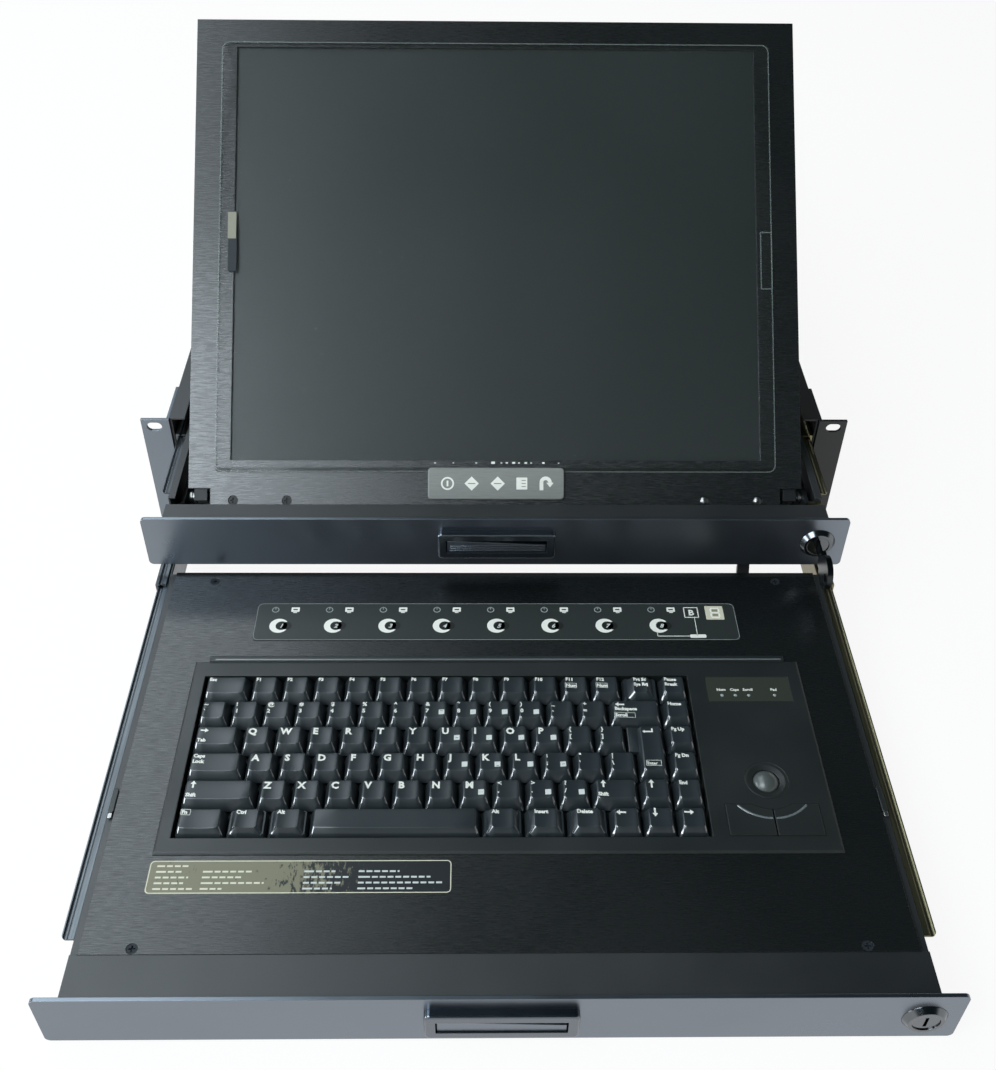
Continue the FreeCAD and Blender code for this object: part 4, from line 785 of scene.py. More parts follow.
@dataclass
class Keys:
    """The keys of the keyboard, laid out in six rows.

    Args:
        pitch: column width in mm.
        row_pitch: row depth.
        gap: space between skirts.
        height: skirt to top.
        side, front, back: how far the top is inset on each side.
        dish: depth of the dished top.
        corner: radius of the upright corners.
        top_round: radius round the top.
        end: width in columns of the keys in the last column.
        margin: clear strip at both sides of a key's signs.
        box_line: width of a printed box's line.
        home: back left corner of the field, at the height of the tops.
        groups: caps and print of each body.
    """
    pitch: float = 18.2
    row_pitch: float = 18.4
    gap: float = 0.8
    height: float = 7.2
    side: float = 2.7
    front: float = 3.8
    back: float = 2.2
    dish: float = 0.5
    corner: float = 0.85
    top_round: float = 0.5
    end: float = 0.95
    margin: float = 0.9
    box_line: float = 0.22
    home: Point = (0.0, 0.0, 0.0)
    groups: dict[str, tuple[Piece, Print]] = field(default_factory=dict)

    def rows(self) -> list[tuple[str, list[Key | None]]]:
        """Rows from the back, each with the body it belongs to; None leaves a place free."""
        top = [Key(1.5, lines=("Esc",))] + [Key(lines=(f"F{n}",)) for n in range(1, 11)]
        top += [Key(lines=("F11", "Num"), boxed=True), Key(lines=("F12", "Num"), boxed=True)]
        top += [Key(1.2, lines=("Prt Sc", "Sys Rq"), step=0.2), Key(self.end, lines=("Pause", "Break"))]
        number = pairs("~`!1@2#3$4%5^6&7*8(9)0_-+=", {"7": "7", "8": "8", "9": "9", "0": "*"})
        number += [Key(1.7, lines=("", "Backspace", "Scroll"), boxed=True, arrow=180.0),
                   Key(self.end, lines=("Home",))]
        upper = [Key(1.5, lines=("", "", "Tab"), arrow=0.0)]
        upper += letters("QWERTYUIOP", dict(zip("UIOP", "456-")))
        upper += pairs("{[}]") + [None, Key(self.end, lines=("Pg Up",))]
        home = [Key(1.75, lines=("Caps", "Lock"))] + letters("ASDFGHJKL", dict(zip("JKL", "123")))
        home += pairs(":;\"'|\\", {";": "+"}) + [None, Key(self.end, lines=("Pg Dn",))]
        lower = [Key(2.25, lines=("", "", "Shift"), arrow=90.0)] + letters("ZXCVBNM", {"M": "0"})
        lower += pairs("<,>.?/", {".": ".", "/": "/"})
        lower += [Key(1.45, lines=("", "", "Shift"), arrow=90.0), Key(arrow=90.0),
                  Key(self.end, lines=("End",))]
        bottom = [Key(1.5, lines=("Fn",), boxed=True), Key(1.2, lines=("Ctrl",), step=0.1),
                  Key(1.2, lines=("Alt",), step=0.1), Key(5.05), Key(1.25, lines=("Alt",), step=0.12),
                  Key(1.25, lines=("Insert",), step=0.12), Key(1.25, lines=("Delete",), step=0.12),
                  Key(arrow=180.0), Key(arrow=-90.0), Key(self.end, arrow=0.0)]
        bodies = ["upper_keys"] * 2 + ["letter_keys"] * 3 + ["bottom_keys"]
        return list(zip(bodies, (top, number, upper, home, lower, bottom)))

    def cap(self, x: Span, y: Span, step: float = 0.0) -> Mesh:
        """Sloped cap with round corners and a dished top.

        Args:
            x, y: the key's cell.
            step: how far the top steps in beyond its slope, in mm.

        Returns:
            The mesh.
        """
        top_z = self.home[2]
        gap = self.gap / 2
        skirt_x, skirt_y = (x[0] + gap, x[1] - gap), (y[0] + gap, y[1] - gap)
        bm = block(skirt_x, skirt_y, (top_z - self.height, top_z))
        for vert in bm.verts:
            if vert.co.z > top_z - 0.1:
                inward = self.side + step
                vert.co.x += inward if vert.co.x < (x[0] + x[1]) / 2 else -inward
                vert.co.y += self.front if vert.co.y < (y[0] + y[1]) / 2 else -self.back
        upright = [e for e in bm.edges if abs(e.verts[0].co.z - e.verts[1].co.z) > 1]
        ease(bm, upright, self.corner, 1, mark=1)
        rim = [e for e in bm.edges if all(abs(v.co.z - top_z) < 1e-5 for v in e.verts)]
        ease(bm, rim, self.top_round, 2)
        left, right = self.top_span(x, step)
        for share in (1 / 6, 1 / 3, 1 / 2, 2 / 3, 5 / 6):
            split(bm, (left + share * (right - left), 0, 0), (1, 0, 0))
        sink = self.sink(x, step)
        for vert in bm.verts:
            share = max(0.0, (vert.co.z - top_z + self.height) / self.height)
            vert.co.z += sink(vert.co.x, vert.co.y) * max(0.0, (share - 0.8) / 0.2)
        return bm

    def top_span(self, x: Span, step: float = 0.0) -> Span:
        """Left and right edge of the top of the key in a cell."""
        return x[0] + self.gap / 2 + self.side + step, x[1] - self.gap / 2 - self.side - step

    def sink(self, x: Span, step: float = 0.0) -> Callable:
        """Height of the dished top at a place, measured from the key's top plane."""
        left, right = self.top_span(x, step)
        middle, half = (left + right) / 2, (right - left) / 2

        def height(place_x: float, _y: float) -> float:
            """Depth of the dish."""
            share = min(1.0, abs(place_x - middle) / half)
            return -self.dish * (1 - share * share)
        return height

    def label(self, ink: Print, key: Key, x: Span, y1: float) -> None:
        """Print a key's signs."""
        step = key.step * self.pitch
        left, right = self.top_span(x, step)
        left, right = left + self.margin, right - self.margin
        back = y1 - self.gap / 2 - self.back
        z = self.home[2] + PRINT_LIFT
        lay = self.sink(x, step)
        if key.main:
            ink.words(key.main, CAPITAL.size, (left, back - CAPITAL.base, z), lay, bold=CAPITAL.bold)
        wordy = bool(key.lines) and (len(key.lines[0]) > 1 or len(key.lines) > 2)
        kind = WORD if wordy else SIGN
        for index, line in enumerate(key.lines):
            if not line:
                continue
            framed = key.boxed and index == len(key.lines) - 1
            base = back - kind.base - index * kind.drop
            if framed and index:
                base -= 0.9
            ink.words(line, kind.size, (left - 0.6, base, z), lay, bold=kind.bold)
            if framed:
                wide = min(right - left + 0.8, 0.56 * kind.size * len(line) + 0.6)
                ink.boxed((left - 1.1, left + wide), (base - 0.8, base + 2.8), z, self.box_line, lay)
        if key.pad:
            ink.bar((right - 3.2, right), (back - 9.6, back - 6.2), z, lay, Coat.PALE_INK)
            ink.words(key.pad, 3.2, (right - 1.6, back - 9.0, z + 0.03), lay, Coat.KEY, 0.02, True)
        if key.arrow is not None:
            length = 5.4 if key.width < 1.3 or key.arrow == 180.0 else 4.6
            ink.arrow((left + 2.5, back - 2.6, z), length, key.arrow, lay, 1.6, 0.5)

    def build(self) -> None:
        """Build all keys, one piece of caps and one of print for each body."""
        low, high = mm_box("upper_keys")
        self.home = (low.x - self.gap / 2, high.y + self.gap / 2, high.z)
        for body in ("upper_keys", "letter_keys", "bottom_keys", "enter_key", "space_bar"):
            self.groups[body] = (Piece(f"{body}_caps"), Print(f"{body}_legends"))
        for index, (body, row) in enumerate(self.rows()):
            x = self.home[0]
            y1 = self.home[1] - index * self.row_pitch
            for key in row:
                if key is None:
                    x += 1.2 * self.pitch if index == 2 else self.end * self.pitch
                    continue
                cell, depth = (x, x + key.width * self.pitch), (y1 - self.row_pitch, y1)
                caps, ink = self.groups["space_bar" if key.width > 5 else body]
                caps.merge(self.cap(cell, depth, key.step * self.pitch), Coat.KEY, Coat.KEY_EDGE)
                if key.step:
                    shelf = self.cap(cell, depth)
                    split(shelf, (0, 0, self.home[2] - 0.55 * self.height), (0, 0, 1), drop_far=True)
                    caps.merge(shelf, Coat.KEY, Coat.KEY_EDGE)
                self.label(ink, key, cell, y1)
                x = cell[1]
        self.enter()
        for body, (caps, ink) in self.groups.items():
            caps.finish(body, "key_plastic", [body])
            if len(ink.piece.bm.verts):
                ink.piece.finish(body, smooth=False)

    def enter(self) -> None:
        """Tall key over two rows, with its ledge."""
        caps, ink = self.groups["enter_key"]
        x0 = self.home[0] + 13.5 * self.pitch
        cell = (x0 + 0.25 * self.pitch, x0 + 1.2 * self.pitch)
        y1 = self.home[1] - 2 * self.row_pitch
        caps.merge(self.cap(cell, (y1 - 2 * self.row_pitch, y1)), Coat.KEY, Coat.KEY_EDGE)
        low = self.home[2] - self.height
        ledge = rounded_block((x0 + self.gap / 2, cell[0] + 3), (y1 - self.row_pitch + 0.4, y1 - 0.4),
                              (low, low + 0.45 * self.height), 0.8, top=0.5)
        caps.merge(ledge, Coat.KEY)
        lay = self.sink(cell)
        left = cell[0] + self.side + 1.6
        z = self.home[2] + PRINT_LIFT
        back = y1 - self.back
        ink.arrow((left + 2.6, back - 4.2, z), 5.6, 180.0, lay)
        ink.bar((left + 5.0, left + 5.8), (back - 4.6, back - 2.0), z, lay)
        ink.words("Enter", 2.6, (left + 0.4, back - 27.0, z), lay)
        ink.boxed((left - 0.2, left + 8.4), (back - 27.9, back - 24.2), z, self.box_line, lay)


# ------------------------------------------------------------------ keyboard drawer

@dataclass
class KeyboardDrawer:
    """What is printed and fitted on the keyboard drawer's top plate.

    Args:
        body: CAD body that it rides on.
        channels: number of channel marks.
        channel_pitch: from one mark to the next.
        hint_width: width of the hint film.
        hint_reach: its front and back edge, in front of the keyboard.
        scoop: radius of the scoop in the two buttons.
        dish: radius of the rim of the dish round the ball.
        lever_y: front and back end of the slides' release levers.
    """
    body: str = "keyboard_drawer"
    channels: int = 8
    channel_pitch: float = 33.7
    hint_width: float = 156.0
    hint_reach: Span = (22.4, 2.9)
    scoop: float = 19.5
    dish: float = 25.0
    lever_y: Span = (-282.0, -266.0)

    def build(self) -> None:
        """Build and dress all pieces."""
        self.overlay_print()
        self.hint_label()
        self.lamp_window()
        self.button_gap_shadows()
        self.slide_levers()
        handle_flap("kb_handle", self.body, 0)
        self.screws()

    def overlay_print(self) -> None:
        """Crescents with channel numbers, lamp signs, bank box, display window, and a light grey line along
        the film's edge that is a painted highlight.
        """
        low, high = mm_box("channel_overlay")
        z = high.z
        ink = Print("channel_overlay_print", 0.04)
        flat, over = (z, z + ink.thick), (z + 0.02, z + 0.06)
        first, ring_y, sign_y = low.x + 15.0, (low.y + high.y) / 2 - 3.6, high.y - 6.4
        for index in range(self.channels):
            x = first + index * self.channel_pitch
            ink.shape(disc(5.9, flat, (x, ring_y), 32))
            for radius, shift in ((3.6, 1.6), (3.2, 4.6)):
                ink.shape(disc(radius, over, (x + shift, ring_y), 32), coat=Coat.DISC)
            ink.words(str(index + 1), 4.4, (x + 1.4, ring_y - 1.6, z + 0.05), centred=True, slant=0.3,
                      coat=Coat.PALE_INK)
            ink.shape(disc(2.3, flat, (x - 3.6, sign_y + 0.8), 20, 1.75), coat=Coat.GREY_INK)
            ink.bar((x - 3.85, x - 3.35), (sign_y + 1.0, sign_y + 3.4), z, coat=Coat.GREY_INK)
            ink.shape(rounded_block((x + 6.2, x + 11.4), (sign_y - 0.9, sign_y + 2.9), flat, 0.5))
            ink.bar((x + 7.4, x + 10.2), (sign_y + 0.5, sign_y + 1.5), z + 0.01, coat=Coat.FILM)
            ink.bar((x + 7.6, x + 10.0), (sign_y - 1.9, sign_y - 1.2), z)
        # painted highlight: a thin light grey line along the film's edge, where its rim catches the light
        edge_x, edge_y = (low.x + 0.2, high.x - 0.2), (low.y + 0.2, high.y - 0.2)
        ink.shape(outline_frame(edge_x, edge_y, flat, 3.4, 0.25), coat=Coat.GREY_INK)
        bank_x = first + self.channels * self.channel_pitch - 12.4
        ink.boxed(around(bank_x, 4.6), (high.y - 12.4, high.y - 3.4), z, 0.6)
        ink.words("B", 6.4, (bank_x, high.y - 10.2, z), centred=True)
        ink.bar((bank_x + 1.4, bank_x + 1.8), (low.y + 3.4, high.y - 12.4), z)
        ink.bar((bank_x - 23.2, bank_x - 3.0), (low.y + 3.0, low.y + 3.5), z)
        ink.bar((bank_x - 23.2, bank_x - 22.8), (low.y + 3.0, ring_y - 6.0), z)
        ink.shape(rounded_block((bank_x - 3.0, bank_x + 7.0), (low.y + 1.8, low.y + 4.6), flat, 0.8))
        ink.piece.finish(self.body, smooth=False)
        self.number_display((bank_x + 9.0, bank_x + 20.4), (high.y - 14.0, high.y - 2.4), z)

    def number_display(self, x: Span, y: Span, z: float) -> None:
        """Display window with one unlit seven-segment figure."""
        show = Piece("channel_number_display")
        show.merge(rounded_block(x, y, (z - 0.05, z + 0.06), 0.6), Coat.CREAM)
        middle, width, row_step, half_line = (x[0] + x[1]) / 2 + 0.4, 2.6, 3.9, 0.45
        raised = (z, z + 0.09)
        for row in range(3):
            height = y[0] + 1.9 + row * row_step
            show.merge(block(around(middle, width), around(height, half_line), raised), Coat.SEGMENT)
        for row in range(2):
            for side in (-1, 1):
                height = y[0] + 3.85 + row * row_step
                show.merge(block(around(middle + side * width, half_line), around(height, 1.3), raised),
                           Coat.SEGMENT)
            gap = (y[0] + 2.9 + row * row_step, y[0] + 4.8 + row * row_step)
            show.merge(block(around(middle, 1.7), gap, (z, z + 0.08)), Coat.SEGMENT_GAP)
        show.finish(self.body, smooth=False)

    def hint_label(self) -> None:
        """Outlined film in front of the keyboard, with plain dashes where a table would stand."""
        keyboard = mm_box("keyboard_housing")[0]
        z = mm_box("kb_top_plate")[1].z
        x = (keyboard.x, keyboard.x + self.hint_width)
        y = (keyboard.y - self.hint_reach[0], keyboard.y - self.hint_reach[1])
        film = Piece("hint_label_film")
        film.merge(rounded_block(x, y, (z, z + 0.06), 2.4), Coat.HINT)
        film.finish(self.body, smooth=False)
        ink = Print("hint_label_print", 0.03)
        z += 0.06
        edge_x, edge_y = (x[0] + 0.3, x[1] - 0.3), (y[0] + 0.3, y[1] - 0.3)
        ink.shape(outline_frame(edge_x, edge_y, (z, z + 0.03), 2.2, 0.5), coat=Coat.CREAM)
        # start of each column, and the length of its dashes in each row
        columns = ((4.0, (17, 15, 18, 16, 21)), (28.0, (2, 26, 22, 33, 12)),
                   (80.0, (1, 17, 24, 21, 16)), (108.0, (1, 22, 38, 44, 30)))
        for row in range(5):
            base = y[1] - 3.4 - row * 3.3
            for column, (start, widths) in enumerate(columns):
                width = widths[row] if row or column < 1 else 0
                place = x[0] + start
                coat = Coat.CREAM if column < 2 else Coat.PALE_INK
                while width > 0:
                    dash = min(width, 4.0 + (row * 7 + column * 5 + int(width)) % 4)
                    ink.bar((place, place + dash - 1.0), around(base, 0.5), z, coat=coat)
                    place += dash
                    width -= dash
        ink.piece.finish(self.body, smooth=False)

    def lamp_window(self) -> None:
        """Names and dull lenses of the four state lamps."""
        low, high = mm_box("led_window")
        ink = Print("lamp_names", 0.03)
        lens = Piece("lamp_lenses")
        for share, name in ((0.17, "Num"), (0.33, "Caps"), (0.49, "Scroll"), (0.80, "Pad")):
            x = low.x + share * (high.x - low.x)
            ink.words(name, 2.6, (x, low.y + 8.0, high.z), centred=True)
            dome = lathe(((0, 0.35), (0.7, 0.25), (1.0, 0.0)), Vector((x, low.y + 4.6, high.z)), UP, 16)
            lens.merge(dome, Coat.GREY_INK)
        ink.piece.finish(self.body, smooth=False)
        lens.finish(self.body)

    def button_gap_shadows(self) -> None:
        """Painted shadow: black bands laid round the two buttons where their gaps fall in shade, and the rim
        of the dish that crosses them, its light grey a painted highlight.
        """
        ball = mm_box("trackball")
        centre = ((ball[0].x + ball[1].x) / 2, (ball[0].y + ball[1].y) / 2)
        gap_shadows = Piece("painted_button_gap_shadows")
        for name, side in (("mouse_button_left", -1), ("mouse_button_right", 1)):
            low, high = mm_box(name)
            outer, inner = (low.x, high.x) if side < 0 else (high.x, low.x)
            start = math.asin((centre[1] - high.y) / self.scoop)
            stop = math.acos(abs(inner - centre[0]) / self.scoop)
            turns = [start + (stop - start) * step / 8 for step in range(9)]
            arc = [(centre[0] + side * self.scoop * math.cos(turn),
                    centre[1] - self.scoop * math.sin(turn)) for turn in turns]
            outline = [(outer, low.y), (outer, high.y), *arc, (inner, low.y)]
            # painted shadow: a black band round each button where its gap falls in shade
            gap_shadows.merge(ribbon(outline, (high.z - 0.62, high.z - 0.5), 0.75), Coat.GAP_SHADOW)
            ends = (222.0, 268.0) if side < 0 else (272.0, 318.0)
            # the rim ridge is real; its light grey is a painted highlight
            rim = Piece(f"{name}_dish_rim_highlight")
            rim.merge(ridge(centre, self.dish, ends, high.z - 0.02, 1.3, 0.35), Coat.PAINTED_HIGHLIGHT)
            rim.finish(name)
        gap_shadows.finish(self.body, smooth=False)

    def slide_levers(self) -> None:
        """Release levers on the slides, a lug behind the tray, and a light grey strip along the edge of the
        housing's ledge that is a painted highlight.
        """
        low, high = mm_box("kb_top_plate")
        levers = Piece("slide_release_levers")
        for side in (-1, 1):
            x = tuple(sorted((side * (high.x + 0.5), side * (high.x + 3.5))))
            levers.merge(rounded_block(x, self.lever_y, (high.z - 0.4, high.z + 0.3), 1.2), Coat.CASE)
            front = (self.lever_y[0] - 3.0, self.lever_y[0])
            tip = rounded_block((x[0] + 0.4, x[1] - 0.4), front, (high.z - 0.4, high.z + 0.2), 0.6)
            levers.merge(tip, Coat.BRIGHT)
        lug = block((157.0, 165.0), (-98.5, -84.0), (-15.0, -8.0))
        for vert in lug.verts:
            if vert.co.y > -90:
                vert.co.x += 3.0
        levers.merge(lug, Coat.STEEL)
        low, high = mm_box("keyboard_housing")
        # painted highlight: a thin light grey strip along the ledge's top edge
        ledge = block((low.x + 12.0, high.x - 10.0), (high.y - 3.2, high.y - 2.2),
                      (high.z - 0.5, high.z + 0.15))
        levers.merge(ledge, Coat.PAINTED_HIGHLIGHT)
        levers.finish(self.body, bevel=0.15)

    def screws(self) -> None:
        """Black countersunk screws of the top plate, with cross recesses."""
        low, high = mm_box("plate_screws")
        screws = Piece("plate_screw_heads")
        radius = 2.75
        for x in (low.x + radius, high.x - radius):
            for y in (low.y + radius, high.y - radius):
                screws.merge(cross_head(radius, high.z, (x, y)), Coat.DARK_SCREW)
        screws.finish(self.body, "zinc_steel", ["plate_screws"])


def cross_head(radius: float, top: float, at: Span) -> Mesh:
    """Flat screw head with a cross recess, facing up.

    Args:
        radius: head radius in mm.
        top: height of its face.
        at: its middle.

    Returns:
        The mesh.
    """
    bm = bmesh.new()
    bmesh.ops.create_circle(bm, cap_ends=True, segments=32, radius=radius)
    arm, reach = radius * 0.16, radius * 0.62
    for offset in (-arm, arm, -reach, reach):
        split(bm, (offset, 0, 0), (1, 0, 0))
        split(bm, (0, offset, 0), (0, 1, 0))
    cross = []
    for face in bm.faces:
        near, far = sorted(abs(c) for c in face.calc_center_median().xy)
        if near < arm and far < reach:
            cross.append(face)
    pull(bm, cross, -radius * 0.4)
    bmesh.ops.delete(bm, geom=cross, context="FACES_ONLY")
    wall = bmesh.ops.extrude_edge_only(bm, edges=open_edges(bm))
    low = [v for v in wall["geom"] if isinstance(v, Vert)]
    bmesh.ops.translate(bm, vec=(0, 0, -0.5 * radius), verts=low)
    bmesh.ops.holes_fill(bm, edges=open_edges(bm))
    bmesh.ops.recalc_face_normals(bm, faces=bm.faces)
    bmesh.ops.translate(bm, vec=(*at, top), verts=bm.verts)
    return bm


# ------------------------------------------------------------------ screen module

@dataclass
class ScreenModule:
    """Prints and small pieces of the screen, drawn flat on its face and leaned back about the hinge.

    Args:
        body: CAD body that they ride on.
        tilt: lean of the screen in degrees.
        hinge: middle of the hinge line.
        face: the bezel's face, in front of the hinge line.
        edge: the bezel's lower edge, above the hinge line.
        tab_width: width of the tab below the bezel.
    """
    body: str = "screen_module"
    tilt: float = 45.4
    hinge: Point = (0.0, -53.1, 18.9)
    face: float = -11.0
    edge: float = 5.0
    tab_width: float = 373.4

    def lean(self) -> Matrix:
        """Matrix from a flat print on the face, x right and y up, to the leaned face."""
        stand = Matrix.Rotation(math.radians(90), 4, "X")
        back = Matrix.Rotation(math.radians(-self.tilt), 4, "X")
        lift = Matrix.Translation((0, self.face, self.edge))
        return Matrix.Translation(self.hinge) @ back @ lift @ stand

    def place(self, piece: Piece) -> None:
        """Lean a piece that was drawn flat, its z pointing out of the screen's face."""
        bmesh.ops.transform(piece.bm, matrix=self.lean(), verts=piece.bm.verts)

    def build(self) -> None:
        """Build all pieces."""
        self.control_signs()
        self.tape_tabs()
        self.tab_screws()
        self.hinge_rings()
        handle_flap("lcd_handle", "screen_drawer", 3)

    def control_signs(self) -> None:
        """Power, left, right, menu and return signs on the control pad."""
        ink = Print("control_signs", 0.04)
        y, z = 3.1, 2.42
        top = z + 0.04
        ink.shape(disc(4.3, (z, top), (-31.8, y), 32, 3.2))
        ink.bar((-32.4, -31.2), (y - 1.9, y + 1.9), z)
        for x in (-16.0, 1.0):
            ink.shape(disc(4.7, (z, top), (x, y), 4))
            ink.bar((x - 2.4, x + 2.4), (y - 0.3, y + 0.3), z + 0.02, coat=Coat.PAD)
        ink.shape(rounded_block((13.2, 20.4), (y - 3.9, y + 4.0), (z, top), 0.4))
        for row in range(3):
            ink.bar((16.6, 19.4), (y - 2.2 + row * 2.0, y - 1.7 + row * 2.0), z + 0.02, coat=Coat.PAD)
        ink.bar((28.4, 30.9), (y - 4.4, y + 1.2), z)
        hook = disc(4.0, (z, top), (32.4, y + 0.7), 32, 1.6)
        split(hook, (0, y + 0.7, 0), (0, -1, 0), drop_far=True)
        ink.shape(hook)
        ink.arrow((35.2, y - 0.9, z), 3.2, -90.0, head=2.4, shaft=0.3)
        self.place(ink.piece)
        ink.piece.finish(self.body, smooth=False)

    def tape_tabs(self) -> None:
        """Tape at both sides of the clear sheet, pale outlines along its rim that are a painted highlight,
        and glue flecks at its foot.
        """
        tabs = Piece("sheet_tape_tabs")
        z = 1.5
        tabs.merge(block((-178.0, -172.4), (166.0, 184.0), (z, z + 0.1)), Coat.TAPE)
        tabs.merge(block((-177.6, -172.0), (144.0, 166.0), (z, z + 0.1)), Coat.DARK_SCREW)
        # painted highlights: a short pale outline at the sheet's right edge and a pale outline round its
        # whole rim
        for x, y, thick, radius, line in (((176.0, 184.0), (133.0, 172.0), 0.12, 0.6, 0.8),
                                          ((-183.9, 183.9), (10.6, 300.9), 0.08, 5.0, 0.7)):
            tabs.merge(outline_frame(x, y, (z, z + thick), radius, line), Coat.SHEET_EDGE_HIGHLIGHT)
        flecks = ((-40.0, 0.5), (-28.0, 0.4), (-13.0, 0.5), (-2.0, 1.0), (3.5, 0.45), (7.0, 0.6),
                  (11.5, 0.8), (15.0, 0.5), (19.5, 0.7), (23.0, 0.45), (31.0, 0.7), (41.0, 0.4))
        for x, size in flecks:
            fleck = block(around(x, 1.2 * size), (16.6 - size / 2, 16.6 + size), (z, z + 0.06))
            tabs.merge(fleck, Coat.INK)
        self.place(tabs)
        tabs.finish(self.body, smooth=False)

    def tab_screws(self) -> None:
        """Screws in the tab: raised bright ones on the right, sunk dark ones on the left."""
        screws = Piece("tab_screw_heads")
        y = -8.0
        profile = ((0.0, 1.3), (0.9, 1.25), (1.9, 0.95), (2.7, 0.3), (2.9, -0.5))
        for share in (-0.46, -0.366):
            screws.merge(cross_head(2.9, -0.45, (share * self.tab_width, y)), Coat.DISC)
        for share in (0.366, 0.46):
            x = share * self.tab_width
            screws.merge(lathe(profile, Vector((x, y, 0)), UP, 32), Coat.BRIGHT)
            screws.merge(block(around(x, 0.35), around(y, 1.6), (1.0, 1.34)), Coat.DISC)
        self.place(screws)
        screws.finish(self.body, "zinc_steel", ["module_screws"])

    def hinge_rings(self) -> None:
        """Friction washers, springs and end nuts on the hinge pins."""
        rings = Piece("hinge_washers")
        profile = ((2.1, 0.0), (2.9, 0.0), (2.9, 3.0), (4.1, 3.0), (4.1, 4.2), (3.2, 4.4), (3.2, 5.4),
                   (4.5, 5.6), (4.5, 6.8), (3.6, 7.0), (3.6, 7.8), (4.7, 8.0), (4.7, 9.4), (4.25, 9.6),
                   (4.25, 14.2), (2.1, 14.2))
        for side in (-1, 1):
            rings.merge(lathe(profile, Vector((side * 204.4, self.hinge[1], self.hinge[2])),
                              Vector((-side, 0, 0)), 32), Coat.BRIGHT)
        rings.finish(self.body)


def handle_flap(handle: str, body: str, ribs: int) -> None:
    """Flap inside a drawer handle's opening, hung a little askew, with or without grip ribs.

    Args:
        handle: CAD node of the handle.
        body: the drawer's body.
        ribs: number of grip ribs along it.
    """
    low, high = mm_box(handle)
    middle = (low.z + high.z) / 2
    flap = Piece(f"{handle}_flap")
    plate = block((low.x + 6.2, high.x - 6.2), (low.y + 0.9, low.y + 2.1), (middle - 4.8, middle + 4.5))
    for vert in plate.verts:
        if vert.co.z > middle:
            vert.co.z -= 3.6 if vert.co.x > 0 else 0.4
    flap.merge(plate, Coat.FRONT)
    for row in range(ribs):
        z = around(middle - 3.8 + row * 1.9, 0.25)
        flap.merge(block((low.x + 8.0, high.x - 8.0), (low.y + 0.4, low.y + 1.0), z), Coat.HANDLE)
    flap.finish(body, bevel=0.12)


# ------------------------------------------------------------------ carried CAD nodes

NODE_COATS: dict[Coat, tuple[str, ...]] = {
    # The left rack ear takes the glossier front coat as the lit copy, the right ear the duller painted-shade
    # copy.
    Coat.FRONT: ("kb_front_panel", "lcd_front_panel", "rack_ear_left"),
    Coat.MATT_SHADE: ("rack_ear_right", "side_frame_right", "base_plate", "hinge_brackets", "hinge_leaves"),
    Coat.STEEL: ("kb_tray", "lcd_tray"),
    Coat.CHASSIS: ("side_frame_left", "rear_bracket_right", "rear_bracket_left", "rear_panel", "switch_case",
                   "lcd_rear_cover"),
    Coat.BRUSHED: ("kb_top_plate", "lcd_bezel"),
    Coat.HANDLE: ("kb_handle", "lcd_handle"),
    Coat.CASE: ("keyboard_housing", "keyboard_base", "trackball_ring", "power_inlet", "mouse_button_left",
                "mouse_button_right"),
    Coat.KEY: ("upper_keys", "letter_keys", "bottom_keys", "enter_key", "space_bar"),
    Coat.BALL: ("trackball",),
    Coat.ZINC: ("chassis_rivets", "kb_rail_outer_right", "kb_rail_mid_right", "kb_rail_inner_right",
                "lcd_rail_outer_right", "lcd_rail_mid_right", "lcd_rail_inner_right", "plate_screws",
                "module_screws", "kb_lock_cam", "lcd_lock_cam", "video_ports"),
    Coat.ZINC_COOL: ("kb_rail_outer_left", "kb_rail_mid_left", "kb_rail_inner_left", "lcd_rail_outer_left",
                     "lcd_rail_mid_left", "lcd_rail_inner_left"),
    Coat.NICKEL: ("kb_lock_housing", "lcd_lock_housing", "kb_lock_plug", "lcd_lock_plug"),
    Coat.KEY_STEEL: ("lock_key",),
    Coat.FILM: ("channel_overlay",),
    Coat.SMOKED: ("led_window",),
    Coat.PANEL: ("lcd_display",),
    Coat.SHEET: ("lcd_cover_sheet",),
    Coat.PAD: ("osd_pad",),
}


def dress_nodes(nodes: dict[str, bpy.types.Object]) -> None:
    """Give every CAD node its finish."""
    for coat, names in NODE_COATS.items():
        for name in names:
            slots = nodes[name].data.materials
            slots.clear()
            slots.append(coat.value.material())


# ------------------------------------------------------------------ studio

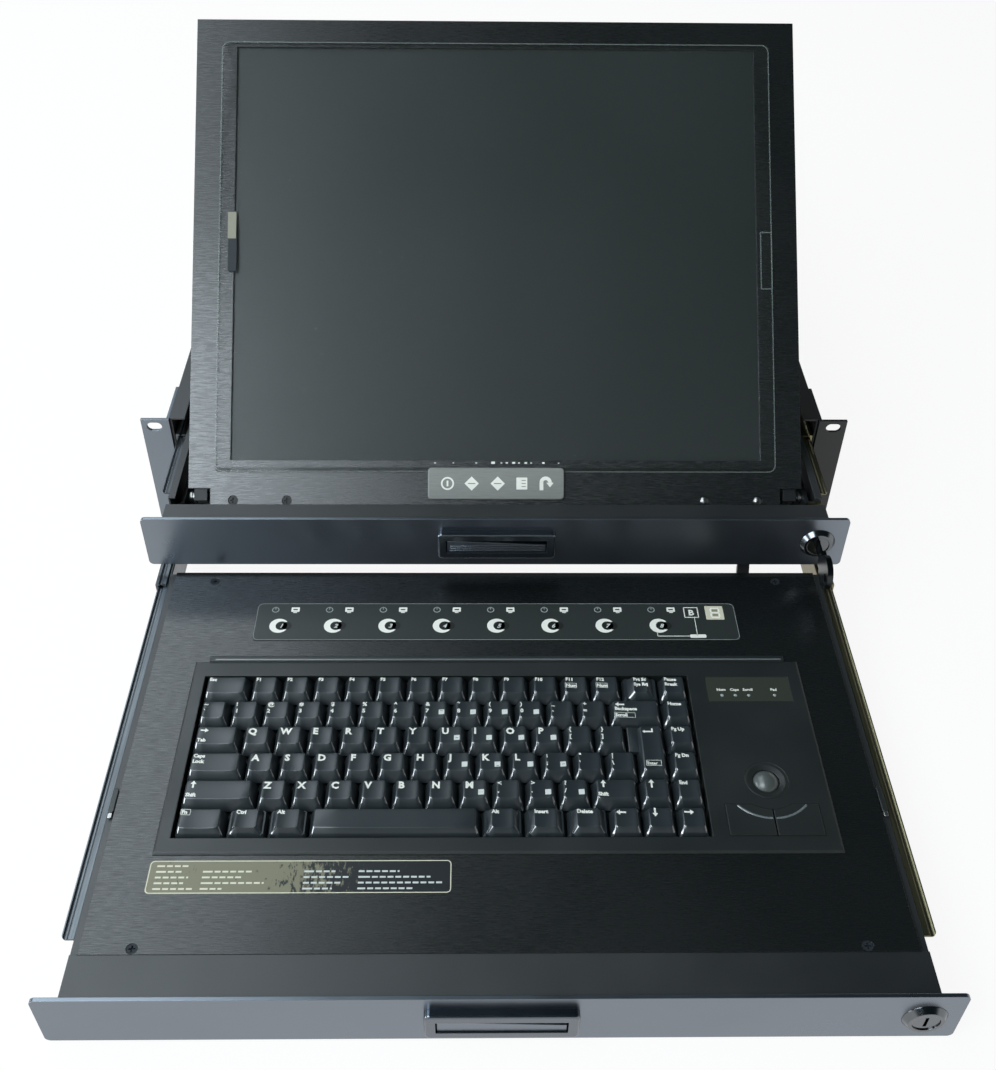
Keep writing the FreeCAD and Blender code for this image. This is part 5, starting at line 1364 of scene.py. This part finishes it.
@dataclass
class Studio:
    """Pale floor, soft light and the camera.

    Args:
        focal: focal length, in the units of the frame's width and height.
        centre: principal point in the frame, from its upper left corner.
        eye: camera place in mm.
        pitch, yaw, roll: angles in degrees.
        width, height: of the frame.
    """
    focal: float = 1240.0
    centre: Span = (496.9, 495.3)
    eye: Point = (-11.9, -674.7, 558.8)
    pitch: float = 40.87
    yaw: float = 1.16
    roll: float = 0.84
    width: float = 996.0
    height: float = 1070.0

    def camera(self) -> None:
        """Camera at the viewing angle."""
        data = bpy.data.cameras.new("camera")
        data.sensor_width = 36.0
        data.lens = self.focal * data.sensor_width / self.height
        data.shift_x = (self.width / 2 - self.centre[0]) / self.height
        data.shift_y = (self.centre[1] - self.height / 2) / self.height
        camera = add_object("camera", data)
        down = Matrix.Rotation(math.radians(90 - self.pitch), 4, "X")
        turn = Matrix.Rotation(math.radians(-self.yaw), 4, "Z")
        tip = Matrix.Rotation(math.radians(self.roll), 4, "Z")
        camera.matrix_world = Matrix.Translation(Vector(self.eye) * MM) @ turn @ down @ tip
        bpy.context.scene.camera = camera

    def floor(self) -> None:
        """Pale floor under the drawer, white where nothing shades it."""
        bm = bmesh.new()
        bmesh.ops.create_grid(bm, x_segments=1, y_segments=1, size=6.0)
        bmesh.ops.translate(bm, vec=(0, 0, CAD_BOX[0][2] - 0.002), verts=bm.verts)
        floor = add_object("floor", to_mesh(bm, "floor"))
        made = bpy.data.materials.new("pale_floor")
        tree = empty_tree(made)
        path = add_node(tree, "ShaderNodeLightPath").outputs
        seen = reckon(tree, "MAXIMUM", path["Is Camera Ray"], path["Is Glossy Ray"])
        seen = reckon(tree, "MAXIMUM", seen, path["Is Transmission Ray"])
        share = reckon(tree, "MULTIPLY", seen, 0.92)
        glow = add_node(tree, "ShaderNodeEmission", {"Color": (1, 1, 1, 1), "Strength": 1.0})
        matt = add_node(tree, "ShaderNodeBsdfDiffuse", {"Color": linear("#f2f2f0")})
        mix = add_node(tree, "ShaderNodeMixShader", {0: share, 1: matt.outputs[0], 2: glow.outputs[0]})
        add_node(tree, "ShaderNodeOutputMaterial", {"Surface": mix.outputs[0]})
        floor.data.materials.append(made)

    def lamp(self, name: str, at: Point, aim: Point, size: Span, power: float) -> None:
        """Soft rectangular lamp.

        Args:
            name: its name.
            at: its place in metres.
            aim: the point it faces.
            size: width across and length along Y, in metres.
            power: watts.
        """
        data = bpy.data.lights.new(name, "AREA")
        data.shape, data.size, data.size_y, data.energy = "RECTANGLE", size[0], size[1], power
        data.color = linear("#e7f3fb")[:3]
        lamp = add_object(name, data)
        back = (Vector(at) - Vector(aim)).normalized()
        across = Vector((0, 1, 0)).cross(back).normalized()
        turn = Matrix((across, back.cross(across), back)).transposed().to_4x4()
        lamp.matrix_world = Matrix.Translation(at) @ turn

    def world(self) -> None:
        """Pale surroundings up to a little above the horizon, and a dim ceiling over them."""
        world = bpy.data.worlds.new("surroundings")
        bpy.context.scene.world = world
        tree = empty_tree(world)
        coords = add_node(tree, "ShaderNodeTexCoord").outputs["Generated"]
        way = add_node(tree, "ShaderNodeSeparateXYZ", {0: coords}).outputs["Z"]
        rise = remap(tree, way, (0.12, 0.42), interpolation_type="SMOOTHSTEP")
        wall = add_node(tree, "ShaderNodeBackground", {"Color": (1, 1, 1, 1), "Strength": 1.0})
        ceiling = add_node(tree, "ShaderNodeBackground", {"Color": linear("#a9d6e0"), "Strength": 0.06})
        mix = add_node(tree, "ShaderNodeMixShader", {0: rise, 1: wall.outputs[0], 2: ceiling.outputs[0]})
        add_node(tree, "ShaderNodeOutputWorld", {"Surface": mix.outputs[0]})

    def build(self) -> None:
        """Set up everything round the object."""
        self.camera()
        self.floor()
        self.world()
        self.lamp("long_left_softbox", (-1.1, 0.0, 1.5), (-1.0, 0.0, 0.0), (1.3, 3.4), 43.0)
        self.lamp("front_left_softbox", (-1.25, -1.5, 1.45), (-1.1, -1.3, 0.0), (1.4, 1.4), 38.0)
        self.lamp("low_left_window", (-2.3, -0.55, 0.22), (0.0, -0.25, 0.0), (0.8, 1.8), 40.0)
        bpy.context.scene.view_settings.view_transform = "Standard"


def write_sizes() -> None:
    """Bring the scene up to date."""
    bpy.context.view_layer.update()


def main() -> None:
    """Build the drawer's looks and its studio."""
    dress_nodes(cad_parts)
    Studio().build()
    Keys().build()
    KeyboardDrawer().build()
    ScreenModule().build()
    write_sizes()


if __name__ == "__main__":
    main()
